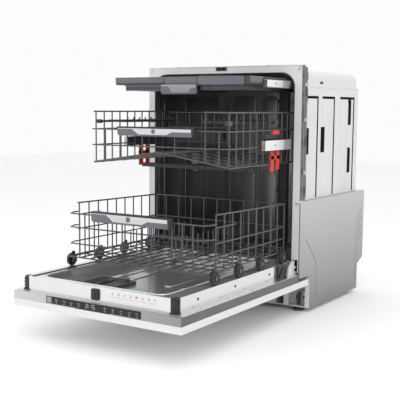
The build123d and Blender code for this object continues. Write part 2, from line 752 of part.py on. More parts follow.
def tray_wing():
    """Raised insert that slides over the right-hand well."""
    s = bx(72, 150, TRAY_Y0 + 0.5, TRAY_Y1 - 0.5, 776.3, 779)
    s += bx(76, 146, TRAY_Y0 + 12, TRAY_Y1 - 12, 762, 777)
    s -= bx(78, 144, TRAY_Y0 + 14, TRAY_Y1 - 14, 764, 790)
    for i in range(5):
        x = 82 + 12 * i
        s -= bx(x, x + 7, TRAY_Y0 + 30, TRAY_Y1 - 30, 760, 770)
    return s


def tray_slides():
    """Inner slide bars that carry the cutlery tray."""
    s = bx(TRAY_X, 252, -160, 150, 754, 768)
    s += bx(252, 264, -168, -164, 744, 766) + bx(250.5, 254, -168, -160, 744, 768)
    s += bx(259.5, 264.1, -165, 60, 743.4, 766.6)
    s += bx(252, 260, -100, -94, 756, 764) + bx(252, 260, 20, 26, 756, 764)
    s -= cx(256, 270, -120, 755, 3)
    return Compound(children=[s, mirror_x(s)])


part("tub", tub())
part("front_frame", front_frame())
part("tub_gasket", tub_gasket())
part("shell_left", shell_side(-1))
part("shell_right", shell_side(1))
part("shell_top", shell_top())
part("rear_cover", rear_cover())
part("side_panel_left", side_panel(-1))
part("side_panel_right", side_panel(1))
part("base_frame", base_frame())
part("leg_brackets", leg_brackets())
part("feet", feet())
part("counterweight", counterweight())
part("hinges", hinges())
part("door_outer_panel", door_outer_panel())
part("door_side_frame", door_side_frame())
part("control_panel", control_panel())
part("touch_display", touch_display())
part("door_inner_panel", door_inner_panel())
part("door_trim", Compound(children=corner_caps() + [door_catch()]))
part("dispenser_body", dispenser_body())
part("dispenser_lid", dispenser_lid())
part("frame_latch", frame_latch())
part("sump_body", sump_body())
part("filter_plate", filter_plate())
part("filter_cylinder", filter_cylinder())
part("pump_set", Compound(children=pump_set() + [softener_tank()]))
part("water_duct", water_duct())
part("rack_rails", rack_rails())
part("screws", screws())
part("lower_spray_arm", spray_arm(SUMP[0], SUMP[1], 191, 204, 440, 40, 24, 5.1))
part("top_spray_arm", spray_arm(SUMP[0], SUMP[1], 780.5, 788.3, 260, 26, 17, 5.1))
part("lower_rack_floor", lower_rack_floor())
part("lower_rack_front", lower_rack_front())
part("lower_rack_rear", lower_rack_rear())
part("lower_rack_left", lower_rack_side(-1))
part("lower_rack_right", lower_rack_side(1))
part("lower_rack_handle", handle(143, -508, LR_FRONT - WIRE, 338, 370))
for i, y in enumerate(WHEEL_Y):
    part("wheels_" + str(i + 1), wheel_pair(y))
part("tines_left", tine_row(TINE_X[0]))
part("tines_right", tine_row(TINE_X[1]))
for name, shape in zip(("slope_left", "slope_right", "spine"), upper_rack_floor()):
    part("upper_rack_" + name, shape)
part("upper_rack_front", upper_rack_front())
part("upper_rack_rear", upper_rack_rear())
part("upper_rack_left", upper_rack_side(-1))
part("upper_rack_right", upper_rack_side(1))
part("upper_rack_handle", handle(140, -385, UR_Y0 - WIRE, 594, 622))
part("cup_shelf_left", cup_shelf(-1))
part("cup_shelf_right", cup_shelf(1))
part("height_adjusters", height_adjusters())
part("upper_rack_slides", upper_rack_slides())
part("middle_spray_arm", spray_arm(0, ARM_Y, 484, 496, 430, 34, 22, 5.1))
part("cutlery_tray", cutlery_tray())
part("tray_wing", tray_wing())
part("tray_slides", tray_slides())

BACK = (DOOR_REACH + DISPLAY_PROUD - DEPTH) / 2
for name, shape in PARTS.items():
    solids = [Pos(0, BACK, 0) * solid for solid in shape.solids()]
    shape = solids[0] if len(solids) == 1 else Compound(children=solids)
    export_step(shape, "parts/" + name + ".step")
    print(name, len(shape.solids()), round(shape.volume))
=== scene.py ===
# %% [markdown]
# # A built-in dishwasher with its door open
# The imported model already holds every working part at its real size: the tub, the door, the wire racks
# and their slides. This lesson dresses it. Each step explains a piece or a finish of the real machine,
# how it could be made in Blender, and why this way was chosen.

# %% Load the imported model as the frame
import math

import bpy
from mathutils import Euler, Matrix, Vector


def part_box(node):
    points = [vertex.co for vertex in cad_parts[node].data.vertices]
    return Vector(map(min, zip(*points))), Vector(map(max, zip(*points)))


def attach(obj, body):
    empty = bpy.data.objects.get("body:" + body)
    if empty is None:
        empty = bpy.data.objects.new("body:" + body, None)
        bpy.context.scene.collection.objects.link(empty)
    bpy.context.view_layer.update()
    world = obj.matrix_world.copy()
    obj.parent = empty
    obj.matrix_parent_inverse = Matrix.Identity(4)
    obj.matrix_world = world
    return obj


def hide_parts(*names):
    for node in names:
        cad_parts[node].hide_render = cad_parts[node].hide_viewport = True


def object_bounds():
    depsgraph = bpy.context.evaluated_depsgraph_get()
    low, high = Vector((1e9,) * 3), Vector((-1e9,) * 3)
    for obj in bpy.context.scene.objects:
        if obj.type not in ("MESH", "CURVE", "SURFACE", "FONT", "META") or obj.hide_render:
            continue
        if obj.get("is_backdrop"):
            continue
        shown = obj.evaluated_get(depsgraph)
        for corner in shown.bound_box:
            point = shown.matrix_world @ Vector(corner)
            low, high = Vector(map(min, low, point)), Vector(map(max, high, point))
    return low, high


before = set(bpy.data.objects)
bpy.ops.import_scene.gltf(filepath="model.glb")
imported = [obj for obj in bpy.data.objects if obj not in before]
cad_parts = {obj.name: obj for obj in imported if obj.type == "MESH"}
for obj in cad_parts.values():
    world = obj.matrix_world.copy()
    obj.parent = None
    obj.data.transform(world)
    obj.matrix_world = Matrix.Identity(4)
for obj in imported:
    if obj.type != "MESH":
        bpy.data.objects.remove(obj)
cad_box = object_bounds()
MM = 0.001
print("nodes loaded:", len(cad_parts))

# %% [markdown]
# Everything is measured in millimetres here, as on a workshop drawing, and turned into metres in one
# place. The drawing's zero is the front plane of the cabinet, as a fitter would measure, and each
# finished piece is moved to where the CAD has that plane.

# %% Read corners in millimetres and leave nothing selected
def corners(node):
    """Lowest and highest corner of a CAD node, in millimetres."""
    low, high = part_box(node)
    return low / MM, high / MM


def clear_selection():
    """Operators act on all that is selected, and loading leaves the nodes selected."""
    if bpy.context.object and bpy.context.object.mode != "OBJECT":
        bpy.ops.object.mode_set(mode="OBJECT")
    bpy.ops.object.select_all(action="DESELECT")


clear_selection()
FRONT = corners("front_frame")[0].y  # the front plane, where every drawing has its zero
print("front plane at y =", round(FRONT, 2))
print("machine, mm:", [round(v) for v in (cad_box[1] - cad_box[0]) / MM])

# %% [markdown]
# ## Shader sums
# A finish is written as sums on sockets. One small class wraps a socket and overloads the operators, so
# that `1 - mask * 0.3` adds its own Math nodes.

# %% A socket that can be added and multiplied
class Signal:
    """A number coming out of a node."""

    def __init__(self, finish, socket):
        self.finish = finish
        self.socket = socket

    def _sum(self, kind, left, right):
        return self.finish.node("ShaderNodeMath", {"operation": kind}, {0: left, 1: right})

    def __add__(self, other):
        return self._sum("ADD", self, other)

    def __radd__(self, other):
        return self._sum("ADD", other, self)

    def __sub__(self, other):
        return self._sum("SUBTRACT", self, other)

    def __rsub__(self, other):
        return self._sum("SUBTRACT", other, self)

    def __mul__(self, other):
        return self._sum("MULTIPLY", self, other)

    def __rmul__(self, other):
        return self._sum("MULTIPLY", other, self)

    def over(self, level, soft):
        """0 below the level, 1 above it, with a soft step between."""
        return self.finish.node(
            "ShaderNodeMapRange",
            {"interpolation_type": "SMOOTHSTEP"},
            {0: self, 1: level - soft, 2: level + soft},
        )


# %% A finish: one Principled shader and what feeds it
class Finish:
    """A material under construction."""

    def __init__(self, name, **constants):
        self.material = bpy.data.materials.new(name)
        self.material.use_nodes = True
        self.tree = self.material.node_tree
        self.shader = next(n for n in self.tree.nodes if n.type == "BSDF_PRINCIPLED")
        for socket, value in constants.items():
            self.shader.inputs[socket.replace("_", " ")].default_value = value

    def node(self, kind, settings, values, output=0):
        """Any node: its settings first, then the numbers or links of its sockets."""
        made = self.tree.nodes.new(kind)
        for key, value in settings.items():
            setattr(made, key, value)
        for key, value in values.items():
            self.feed(made.inputs[key], value)
        return Signal(self, made.outputs[output])

    def feed(self, socket, value):
        """Link a signal or set a number."""
        if isinstance(value, Signal):
            self.tree.links.new(value.socket, socket)
        else:
            socket.default_value = value

    def place(self, stretch=(1, 1, 1)):
        """Object coordinates, stretched per axis for brushed or drawn patterns."""
        where = self.node("ShaderNodeTexCoord", {}, {}, output=3)
        return self.node("ShaderNodeMapping", {}, {"Vector": where, "Scale": stretch})

    def noise(self, scale, detail=3.0, stretch=(1, 1, 1)):
        return self.node(
            "ShaderNodeTexNoise", {}, {"Vector": self.place(stretch), "Scale": scale, "Detail": detail}
        )

    def mix(self, share, first, second):
        """Colour between two colours."""
        return self.node(
            "ShaderNodeMix", {"data_type": "RGBA"}, {0: share, 6: first, 7: second}, output=2
        )

    def bump(self, height, strength, distance):
        return self.node(
            "ShaderNodeBump", {}, {"Strength": strength, "Distance": distance, "Height": height}
        )

    def drive(self, socket, value):
        self.feed(self.shader.inputs[socket], value)


def shade(colour, factor):
    """The same colour, lighter or darker."""
    return tuple(min(1.0, c * factor) for c in colour[:3]) + (1.0,)


print("shader tools ready")

# %% [markdown]
# ## Finishes
# The real machine has few finishes, and each one tells what the piece is for: rolled stainless inside,
# darkened as painted shade, zinc-coated sheet outside, darker towards the floor as painted shade,
# nylon-coated wire, and plain moulded plastic. Rolled steel gets streaks stretched along the rolling
# direction, and moulded plastic gets a fine even grain.

# %% Sheet metals
def rolled_steel(name, colour, roughness, stretch, metallic=1.0, contrast=0.10, waviness=0.15, brush=0.3):
    """Steel sheet with fine streaks along its rolling direction and a slight waviness."""
    f = Finish(name, Metallic=metallic)
    streaks = f.noise(55.0, 2.0, stretch)
    clouds = f.noise(4.0, 3.0)
    tone = clouds * 0.7 + streaks * 0.3
    f.drive("Base Color", f.mix(tone, shade(colour, 1 - contrast), shade(colour, 1 + contrast)))
    f.drive("Roughness", roughness - 0.06 + streaks * 0.12)
    f.drive("Normal", f.bump(streaks * brush + clouds * waviness * 6, 0.12, 0.0006))
    return f.material


def shade_graded_sheet(name, first, last, roughness, along, start, reach):
    """Coated sheet with a faint spangle; its tone runs from the first colour to the last along one axis, as
    painted shade.
    """
    f = Finish(name, Metallic=0.55)
    spangle = f.noise(38.0, 3.0)
    travel = f.node("ShaderNodeSeparateXYZ", {}, {"Vector": f.place()}, output=along) - start
    painted_shade_ramp = f.node("ShaderNodeMath", {"operation": "MULTIPLY", "use_clamp": True}, {0: travel, 1: 1 / reach})
    tone = painted_shade_ramp * 0.94 + spangle * 0.06
    f.drive("Base Color", f.mix(tone, first, last))
    f.drive("Roughness", roughness - 0.04 + spangle * 0.08)
    f.drive("Normal", f.bump(spangle, 0.03, 0.0004))
    return f.material


def painted_sheet(name, colour, roughness=0.38, coat=0.15, grain=900.0):
    """Powder-coated sheet: faint orange peel, a little dust in its tone."""
    f = Finish(name, Coat_Weight=coat, Coat_Roughness=0.25)
    peel = f.noise(grain, 2.0)
    dust = f.noise(7.0, 4.0)
    f.drive("Base Color", f.mix(dust, shade(colour, 0.965), shade(colour, 1.02)))
    f.drive("Roughness", roughness - 0.05 + dust * 0.1)
    f.drive("Normal", f.bump(peel, 0.05, 0.0002))
    return f.material


# %% Plastics, rubber and coated wire
def moulded(name, colour, roughness=0.5, grain=1500.0, depth=0.12, sheen=0.0):
    """Moulded plastic with a fine spark-eroded grain and soft flow marks."""
    f = Finish(name, Sheen_Weight=sheen)
    spark = f.noise(grain, 2.0)
    flow = f.noise(9.0, 3.0)
    f.drive("Base Color", f.mix(flow, shade(colour, 0.93), shade(colour, 1.05)))
    f.drive("Roughness", roughness - 0.06 + flow * 0.08 + spark * 0.06)
    f.drive("Normal", f.bump(spark, depth, 0.0002))
    return f.material


def nylon_wire(name, colour):
    """Wire dipped in nylon: smooth, slightly uneven, a satin shine."""
    f = Finish(name, Coat_Weight=0.35, Coat_Roughness=0.2)
    runs = f.noise(160.0, 2.0)
    f.drive("Base Color", f.mix(runs, shade(colour, 0.85), shade(colour, 1.15)))
    f.drive("Roughness", 0.30 + runs * 0.12)
    f.drive("Normal", f.bump(runs, 0.10, 0.0004))
    return f.material


def cast_block(name, colour):
    """Cast ballast: coarse stone chips in cement."""
    f = Finish(name)
    chips = f.noise(120.0, 5.0)
    f.drive("Base Color", f.mix(chips.over(0.52, 0.06), shade(colour, 0.7), shade(colour, 1.2)))
    f.drive("Roughness", 0.75 + chips * 0.2)
    f.drive("Normal", f.bump(chips, 0.5, 0.002))
    return f.material


# %% The finishes by name
# Tub stainless: its colour darkened as painted shade inside the tub.
STEEL_TUB = rolled_steel("tub_stainless", (0.25, 0.245, 0.245), 0.30, (1, 1, 0.04), 0.9, 0.03, 0.01, 0.04)
# Side panels: darker towards the floor and lighter towards the top, as painted shade.
STEEL_SIDE = shade_graded_sheet("zinc_sheet", (0.22, 0.22, 0.22, 1), (0.57, 0.57, 0.575, 1), 0.42, 2, 0.0, 0.40)
STEEL_BASIN = rolled_steel("bright_basin", (0.74, 0.74, 0.74), 0.20, (0.05, 1, 1), 0.86, 0.03, 0.02, 0.04)
# Control strip: darker towards its right end, as painted shade.
STEEL_CONTROL = shade_graded_sheet(
    "satin_strip", (0.60, 0.60, 0.60, 1), (0.27, 0.27, 0.275, 1), 0.36, 0, -0.30, 0.60
)
# Dark steel: the door's side frame, and painted shade on the frame's bent sides, in the gap behind them and
# on the strip end.
DARK_STEEL_AND_SHADE = rolled_steel("dark_side_strip", (0.15, 0.15, 0.155), 0.40, (1, 0.05, 1), 0.7, 0.05, 0.03)
STEEL_RAIL = rolled_steel("slide_steel", (0.40, 0.40, 0.41), 0.30, (1, 0.05, 1), 1.0, 0.08, 0.05)
STEEL_BRIGHT = rolled_steel("bright_plate", (0.86, 0.86, 0.87), 0.34, (1, 0.05, 1), 0.6, 0.03, 0.02)
STEEL_FILTER = rolled_steel("filter_mesh_steel", (0.5, 0.5, 0.51), 0.3, (1, 1, 1))
CHROME = rolled_steel("screw_steel", (0.62, 0.62, 0.62), 0.25, (1, 1, 1))
FRAME_PAINT = painted_sheet("frame_coating", (0.66, 0.665, 0.67))
WHITE_PAINT = painted_sheet("door_white", (0.74, 0.74, 0.745), 0.34, 0.2)
SHELL_WHITE = moulded("shell_white", (0.70, 0.70, 0.705), 0.45, 700.0, 0.06)
BRACKET_WHITE = painted_sheet("bracket_white", (0.68, 0.68, 0.675))
BASE_GREY = moulded("base_grey", (0.68, 0.68, 0.68), 0.55)
BLACK = moulded("black_plastic", (0.018, 0.018, 0.019), 0.42)
DARK = moulded("dark_plastic", (0.045, 0.045, 0.05), 0.45)
WHEEL_GREY = moulded("wheel_plastic", (0.016, 0.016, 0.017), 0.5)
GRIP_BLUE = moulded("grip_blue_grey", (0.135, 0.137, 0.160), 0.38)
TRAY_BLUE = moulded("tray_blue_grey", (0.125, 0.127, 0.150), 0.42)
TRAY_DARK = moulded("tray_dark", (0.045, 0.045, 0.050), 0.45)
SILVER = rolled_steel("silver_insert", (0.64, 0.64, 0.65), 0.36, (0.05, 1, 1), 0.35, 0.02, 0.02)
SILVER_DULL = rolled_steel("dull_insert", (0.30, 0.30, 0.31), 0.38, (0.05, 1, 1), 0.35, 0.02, 0.02)
RUBBER = moulded("gasket_rubber", (0.06, 0.06, 0.062), 0.6, 1200.0, 0.2, 0.2)
# Near-black, low-gloss fill: painted shade in the shell grooves, and the black mat behind the shell slots.
BLACK_FILL = moulded("black_fill", (0.004, 0.004, 0.004), 0.9, 2600.0, 0.6)
BLACK_FILL.node_tree.nodes["Principled BSDF"].inputs["Specular IOR Level"].default_value = 0.1
WIRE = nylon_wire("wire_nylon", (0.062, 0.063, 0.068))
RED = moulded("red_lever", (0.62, 0.035, 0.025), 0.32)
STONE = cast_block("ballast_stone", (0.42, 0.41, 0.39))
print("finishes:", len(bpy.data.materials))

# %% Dark glass and the marks on it
def dark_glass():
    """Back-printed glass: black, glossy, with a faint cloudiness in its gloss."""
    f = Finish("display_glass", Specular_IOR_Level=0.35)
    cloud = f.noise(20.0, 3.0)
    f.drive("Base Color", f.mix(cloud, (0.010, 0.010, 0.012, 1), (0.018, 0.018, 0.021, 1)))
    f.drive("Roughness", 0.12 + cloud * 0.06)
    return f.material


def printed(name, colour, glow=0.0):
    """Ink or a lit symbol."""
    f = Finish(name, Emission_Strength=glow)
    ink = f.noise(600.0, 2.0)
    f.drive("Base Color", f.mix(ink, shade(colour, 0.92), shade(colour, 1.04)))
    f.drive("Emission Color", f.mix(ink, shade(colour, 0.95), shade(colour, 1.0)))
    f.drive("Roughness", 0.4 + ink * 0.1)
    return f.material


GLASS = dark_glass()
LIT = printed("lit_symbol", (0.62, 0.63, 0.65), 0.25)
INK_GREY = printed("grey_ink", (0.12, 0.12, 0.12))
INK_ORANGE = printed("orange_ink", (0.85, 0.25, 0.10))

# %% [markdown]
# ## Bench tools
# Every new piece starts as a primitive at its real size and place. It is then cut and rounded in edit
# mode, and its edges are eased with a Bevel modifier, because no pressed or moulded edge is perfectly
# sharp.

# %% Select by place, ease edges
def to_object():
    if bpy.context.object and bpy.context.object.mode != "OBJECT":
        bpy.ops.object.mode_set(mode="OBJECT")


def choose(piece, kind, test):
    """Go into edit mode with the edges or faces selected that pass a test on place and direction."""
    to_object()
    bpy.context.view_layer.objects.active = piece
    mesh = piece.data
    for group in (mesh.vertices, mesh.edges, mesh.polygons):
        group.foreach_set("select", [False] * len(group))
    if kind == "FACE":
        for face in mesh.polygons:
            face.select = test(face.center / MM, face.normal)
    else:
        corner = [v.co / MM for v in mesh.vertices]
        for edge in mesh.edges:
            a, b = (corner[i] for i in edge.vertices)
            edge.select = test((a + b) / 2, (b - a).normalized())
    modes = ("VERT", "EDGE", "FACE")
    bpy.context.tool_settings.mesh_select_mode = [kind == m for m in modes]
    bpy.ops.object.mode_set(mode="EDIT")


def use_modifier(piece, kind, **settings):
    """Add one modifier and apply it at once."""
    to_object()
    bpy.context.view_layer.objects.active = piece
    made = piece.modifiers.new(kind.lower(), kind)
    for key, value in settings.items():
        setattr(made, key, value)
    bpy.ops.object.modifier_apply(modifier=made.name)


def smooth(piece, angle=35):
    clear_selection()
    piece.select_set(True)
    bpy.context.view_layer.objects.active = piece
    bpy.ops.object.shade_smooth_by_angle(angle=math.radians(angle))
    return piece


def ease(piece, width=0.8, segments=2):
    """Round all sharp edges a little."""
    limit = math.radians(40)
    use_modifier(piece, "BEVEL", width=width * MM, segments=segments, angle_limit=limit)
    return smooth(piece)


# %% Blocks, discs and corner rounding
def settle():
    """Put the new primitive's place in its mesh."""
    piece = bpy.context.object
    bpy.ops.object.transform_apply(location=True, rotation=True, scale=True)
    return piece


def block(low, high, edge=0.8, segments=2):
    """A box between two corners."""
    clear_selection()
    middle = (Vector(low) + Vector(high)) / 2 * MM
    size = (Vector(high) - Vector(low)) * MM
    bpy.ops.mesh.primitive_cube_add(size=1, location=middle, scale=size)
    piece = settle()
    return ease(piece, edge, segments) if edge else piece


AXES = {"x": Vector((1, 0, 0)), "y": Vector((0, 1, 0)), "z": Vector((0, 0, 1))}


def round_corners(piece, axis, radius, segments=5):
    """Round the edges that run along one axis."""
    way = AXES[axis]
    choose(piece, "EDGE", lambda mid, along: abs(along.dot(way)) > 0.99)
    bpy.ops.mesh.bevel(offset=radius * MM, segments=segments, affect="EDGES")
    to_object()
    return piece


def plate(low, high, axis, radius, edge=0.6, segments=5):
    """A flat plate with rounded corners; the axis is the way it faces."""
    piece = block(low, high, 0)
    round_corners(piece, axis, radius, segments=segments)
    return ease(piece, edge) if edge else piece


def rod(start, end, radius, sides=16, edge=0.0):
    """A straight round bar."""
    clear_selection()
    a, b = Vector(start), Vector(end)
    turn = (b - a).to_track_quat("Z", "Y").to_euler()
    bpy.ops.mesh.primitive_cylinder_add(
        vertices=sides, radius=radius * MM, depth=(b - a).length * MM,
        location=(a + b) / 2 * MM, rotation=turn,
    )
    piece = settle()
    return ease(piece, edge) if edge else smooth(piece)


def weld(pieces):
    """Join pieces that are one moulding or one print."""
    clear_selection()
    for piece in pieces:
        piece.select_set(True)
    bpy.context.view_layer.objects.active = pieces[0]
    if len(pieces) > 1:
        bpy.ops.object.join()
    return bpy.context.object


def mirrored(piece):
    """The same piece on the other side, its faces turned the right way out."""
    clear_selection()
    piece.select_set(True)
    bpy.context.view_layer.objects.active = piece
    bpy.ops.object.duplicate(linked=False)
    bpy.context.object.scale.x = -1
    made = settle()
    bpy.ops.object.mode_set(mode="EDIT")
    bpy.ops.mesh.select_all(action="SELECT")
    bpy.ops.mesh.normals_make_consistent(inside=False)
    to_object()
    return made


HANDS = ((1, "right"), (-1, "left"))


def between(side, inner, outer):
    """Two distances from the middle as low and high X on one side."""
    return sorted((side * inner, side * outer))


# %% Plates cut to an outline
FACING = {"x": (90, 0, 90), "y": (90, 0, 0), "z": (0, 0, 0)}


def cut_plate(outline, axis, low, high, edge=0.4):
    """A sheet cut to an outline of (across, up) points, between two depths along the axis it faces."""
    clear_selection()
    turn = [math.radians(a) for a in FACING[axis]]
    bpy.ops.curve.primitive_nurbs_path_add(rotation=turn)
    curve = bpy.context.object
    data = curve.data
    data.splines.clear()
    line = data.splines.new("POLY")
    line.points.add(len(outline) - 1)
    for knot, (across, up) in zip(line.points, outline):
        knot.co = (across * MM, up * MM, 0, 1)
    line.use_cyclic_u = True
    data.dimensions = "2D"
    data.fill_mode = "BOTH"
    data.extrude = (high - low) / 2 * MM
    curve.location = AXES[axis] * (low + high) / 2 * MM
    bpy.ops.object.convert(target="MESH")
    piece = settle()
    bpy.ops.object.mode_set(mode="EDIT")
    bpy.ops.mesh.select_all(action="SELECT")
    bpy.ops.mesh.remove_doubles(threshold=1e-6)
    bpy.ops.mesh.dissolve_limited(angle_limit=math.radians(1))
    bpy.ops.mesh.normals_make_consistent(inside=False)
    to_object()
    return ease(piece, edge) if edge else piece


# %% Bent wire and pipe
def arc_points(points, bend, steps=5):
    """The same route with each inner corner turned into a short arc."""
    route = [Vector(points[0])]
    for before, corner, after in zip(points, points[1:], points[2:]):
        corner = Vector(corner)
        into = (Vector(before) - corner).normalized()
        out = (Vector(after) - corner).normalized()
        a, b = corner + into * bend, corner + out * bend
        for i in range(steps + 1):
            t = i / steps
            route.append(a * (1 - t) ** 2 + corner * 2 * t * (1 - t) + b * t**2)
    route.append(Vector(points[-1]))
    return route


def pipe(points, radius, bend=0.0, sides=3):
    """A curve through the points with a round section, made into a mesh."""
    clear_selection()
    route = arc_points(points, bend) if bend else [Vector(p) for p in points]
    bpy.ops.curve.primitive_nurbs_path_add()
    curve = bpy.context.object
    data = curve.data
    data.splines.clear()
    line = data.splines.new("POLY")
    line.points.add(len(route) - 1)
    for knot, where in zip(line.points, route):
        knot.co = (*(where * MM), 1)
    data.bevel_depth = radius * MM
    data.bevel_resolution = sides
    data.use_fill_caps = True
    bpy.ops.object.convert(target="MESH")
    return smooth(settle(), 50)


# %% Fit a finished piece to its body
def fit(name, pieces, finish, slot, body="cabinet", *nodes):
    """Make pieces one, name and paint it, let it ride on a body, and say which nodes it stands for."""
    piece = weld(pieces if isinstance(pieces, list) else [pieces])
    piece.name = name
    bpy.ops.transform.translate(value=(0, FRONT * MM, 0))
    bpy.ops.object.transform_apply(location=True, rotation=True, scale=True)
    piece.data.materials.clear()
    piece.data.materials.append(finish)
    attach(piece, body)
    if nodes:
        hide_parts(*nodes)


print("bench tools ready")

# %% [markdown]
# ## Dress the CAD nodes
# Most CAD nodes already have the right shape. They stay as they are and only take a finish; on the tub, the
# side panels and the control strip it holds painted shade.
# Painting a node is safer than remodelling it, because the moving parts and their clearances stay exactly as
# in the CAD.

# %% Every node and its finish
PAINT = (
    (STEEL_TUB, "tub"), (FRAME_PAINT, "front_frame rear_cover"), (RUBBER, "tub_gasket"),
    (SHELL_WHITE, "shell_left shell_right shell_top"), (STEEL_SIDE, "side_panel_left side_panel_right"),
    (BASE_GREY, "base_frame"), (BRACKET_WHITE, "leg_brackets hinges"), (STONE, "counterweight"),
    (DARK, "feet dispenser_body sump_body pump_set water_duct dispenser_lid filter_cylinder"),
    (WHITE_PAINT, "door_outer_panel"), (DARK_STEEL_AND_SHADE, "door_side_frame"), (STEEL_CONTROL, "control_panel"),
    (GLASS, "touch_display"), (STEEL_BASIN, "door_inner_panel"), (STEEL_FILTER, "filter_plate"),
    (CHROME, "screws"), (STEEL_RAIL, "rack_rails upper_rack_slides tray_slides"),
    (WIRE, "lower_rack_floor lower_rack_front lower_rack_rear lower_rack_left lower_rack_right"),
    (WIRE, "upper_rack_slope_left upper_rack_slope_right upper_rack_spine tines_left tines_right"),
    (WIRE, "upper_rack_front upper_rack_rear upper_rack_left upper_rack_right"),
    (GRIP_BLUE, "lower_rack_handle upper_rack_handle"), (RED, "height_adjusters"),
    (WHEEL_GREY, "wheels_1 wheels_2 wheels_3 wheels_4"), (TRAY_DARK, "cutlery_tray tray_wing"),
    (BLACK, "door_trim frame_latch cup_shelf_left cup_shelf_right"),
    (BLACK, "middle_spray_arm lower_spray_arm top_spray_arm"),
)
for finish, names in PAINT:
    for name in names.split():
        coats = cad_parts[name].data.materials
        coats.clear()
        coats.append(finish)
print("CAD nodes dressed")

# %% [markdown]
# ## Rack handles
# Each rack is drawn out by a bar that clips on its front wires. The real bar is three mouldings: a
# blue-grey grip with cut corners, a pale cover let into it from the top, and a round badge disc, which
# stays bare here. The CAD handle is only a plain bar, so a detailed one takes its place.

# %% One grip, built round the CAD bar's box
def rack_handle(name, node, body):
    low, high = corners(node)
    x0, x1, z0, z1 = low.x, high.x, low.z, high.z
    y0, y1 = low.y - FRONT, high.y - FRONT
    tall = z1 - z0
    face = cut_plate(
        [(x0, z1 - 2), (x0, z0 + 5), (x0 + 7, z0), (x1 - 7, z0), (x1, z0 + 4), (x1, z1 - 2)],
        "y", y0 + 0.8, y0 + 4.4, 0.7,
    )
    shelf = block((x0, y0 + 4.0, z1 - 7.6), (x1, y1 - 0.2, z1 - 3.4), 0.8)
    ends = [block((a, y0 + 4.0, z0 + 6), (a + 4, y1 - 0.2, z1 - 4), 0.8) for a in (x0, x1 - 4)]
    ribs = []
    for i in range(1, 8):
        ribs.append(block((x0 + 34 * i, y0 + 4.0, z0 + 3), (x0 + 34 * i + 1.6, y0 + 9, z1 - 5), 0.3))
    fit(name + "_grip", [face, shelf, *ends, *ribs], GRIP_BLUE, "grip_grey", body, node)
    cap = block((x0 - 1.0, y0 - 0.1, z1 - 4.8), (x1 + 1.0, y1 - 0.2, z1), 0.6)
    tip = block((x1 - 6.5, y0 - 0.2, z0 + 1), (x1 + 0.6, y1 - 1, z1 - 1.5), 1.0)
    fit(name + "_top_line", [cap, tip], BLACK, "grip_grey", body)
    up, step, down = z1 - 5.0, z1 - 0.50 * tall, z1 - 0.82 * tall
    wide = x1 - x0
    across = [x0 + wide * share for share in (0.012, 0.20, 0.29, 0.66, 0.73, 0.97)]
    cover = cut_plate(
        [(across[0], up), (across[0], up - 0.07 * tall), (across[1], up - 0.07 * tall), (across[2], down),
         (across[3], down), (across[4], step), (across[5], step), (across[5], up)],
        "y", y0 + 0.3, y0 + 2.0, 0.45,
    )
    fit(name + "_cover", cover, SILVER, "grip_grey", body)
    disc = rod((-4, y0 - 0.1, z1 - 0.47 * tall), (-4, y0 + 1.2, z1 - 0.47 * tall), 0.26 * tall, 40, 0.3)
    fit(name + "_disc", disc, GRIP_BLUE, "grip_grey", body)


rack_handle("lower_handle", "lower_rack_handle", "lower_rack")
rack_handle("upper_handle", "upper_rack_handle", "upper_rack")
print("handles done")

# %% [markdown]
# ## Wheels
# The wheels are one moulding each: a tread, a thin web set back from the rim, and a hub on a pin. The
# web's steps come from insets pushed in and out, and five ribs lie across it from hub to rim.

# %% Shape one wheel at the right front corner
PIN_Z = 205.2
WHEEL_ROWS = (-458, -322, -190, -46)


def wheel_piece(y):
    """Tread with a stepped face on both sides and a hub cap, its axle along X."""
    clear_selection()
    bpy.ops.mesh.primitive_cylinder_add(
        vertices=40, radius=19.5 * MM, depth=9 * MM,
        location=(264.5 * MM, y * MM, PIN_Z * MM), rotation=(0, math.radians(90), 0),
    )
    tyre = settle()
    choose(tyre, "FACE", lambda mid, way: abs(way.x) > 0.9)
    bpy.ops.mesh.inset(thickness=3.0 * MM, use_individual=True)
    to_object()
    for side in (-1, 1):
        def web(mid, way):
            return way.x * side > 0.9 and Vector((mid.y - y, mid.z - PIN_Z)).length < 2

        choose(tyre, "FACE", web)
        for push, rim in ((-1.2, 2.2), (-1.3, 7.6), (1.8, 2.2), (-0.9, 0)):
            bpy.ops.transform.translate(value=(push * side * MM, 0, 0))
            if rim:
                bpy.ops.mesh.inset(thickness=rim * MM)
        to_object()
    ease(tyre, 0.35)
    spokes = []
    for i in range(5):
        a = math.radians(72 * i + 18)
        c, s = math.cos(a), math.sin(a)
        ends = [(267.3, y + r * c, PIN_Z + r * s) for r in (6.5, 14.6)]
        spokes.append(rod(*ends, 0.8, 8))
    return weld([tyre, *spokes])


for i, y in enumerate(WHEEL_ROWS, 1):
    right = wheel_piece(y)
    pair = [right, mirrored(right)]
    fit("rack_wheels_%d" % i, pair, WHEEL_GREY, "wheel_plastic", "wheel_axle_%d" % i, "wheels_%d" % i)
print("wheels:", 8)

# %% [markdown]
# ## Wheel carriers
# Each wheel turns on a moulded arm that clips on the rack's lowest wires. These arms make the dark, busy
# band along the rack's foot.

# %% A carrier beside each wheel
for side, where in HANDS:
    carriers = []
    for y in WHEEL_ROWS:
        x0, x1 = between(side, 256.9, 259.4)
        arm = ((-8, 228), (-8, 217), (-4, 202), (4, 202), (8, 217), (8, 228), (4, 232), (-4, 232))
        outline = [(y + reach, up) for reach, up in arm]
        carriers.append(cut_plate(outline, "x", x0, x1, 0.5))
        carriers.append(rod((side * 267.5, y, PIN_Z), (side * 269.6, y, PIN_Z), 3.6, 20, 0.5))
    fit("wheel_carriers_" + where, carriers, WHEEL_GREY, "wheel_plastic", "lower_rack")

# %% [markdown]
# ## Height adjusters
# On each side a red lever lets the upper rack down by a notch. A black housing holds its spring, and two
# red prongs reach below the slide.

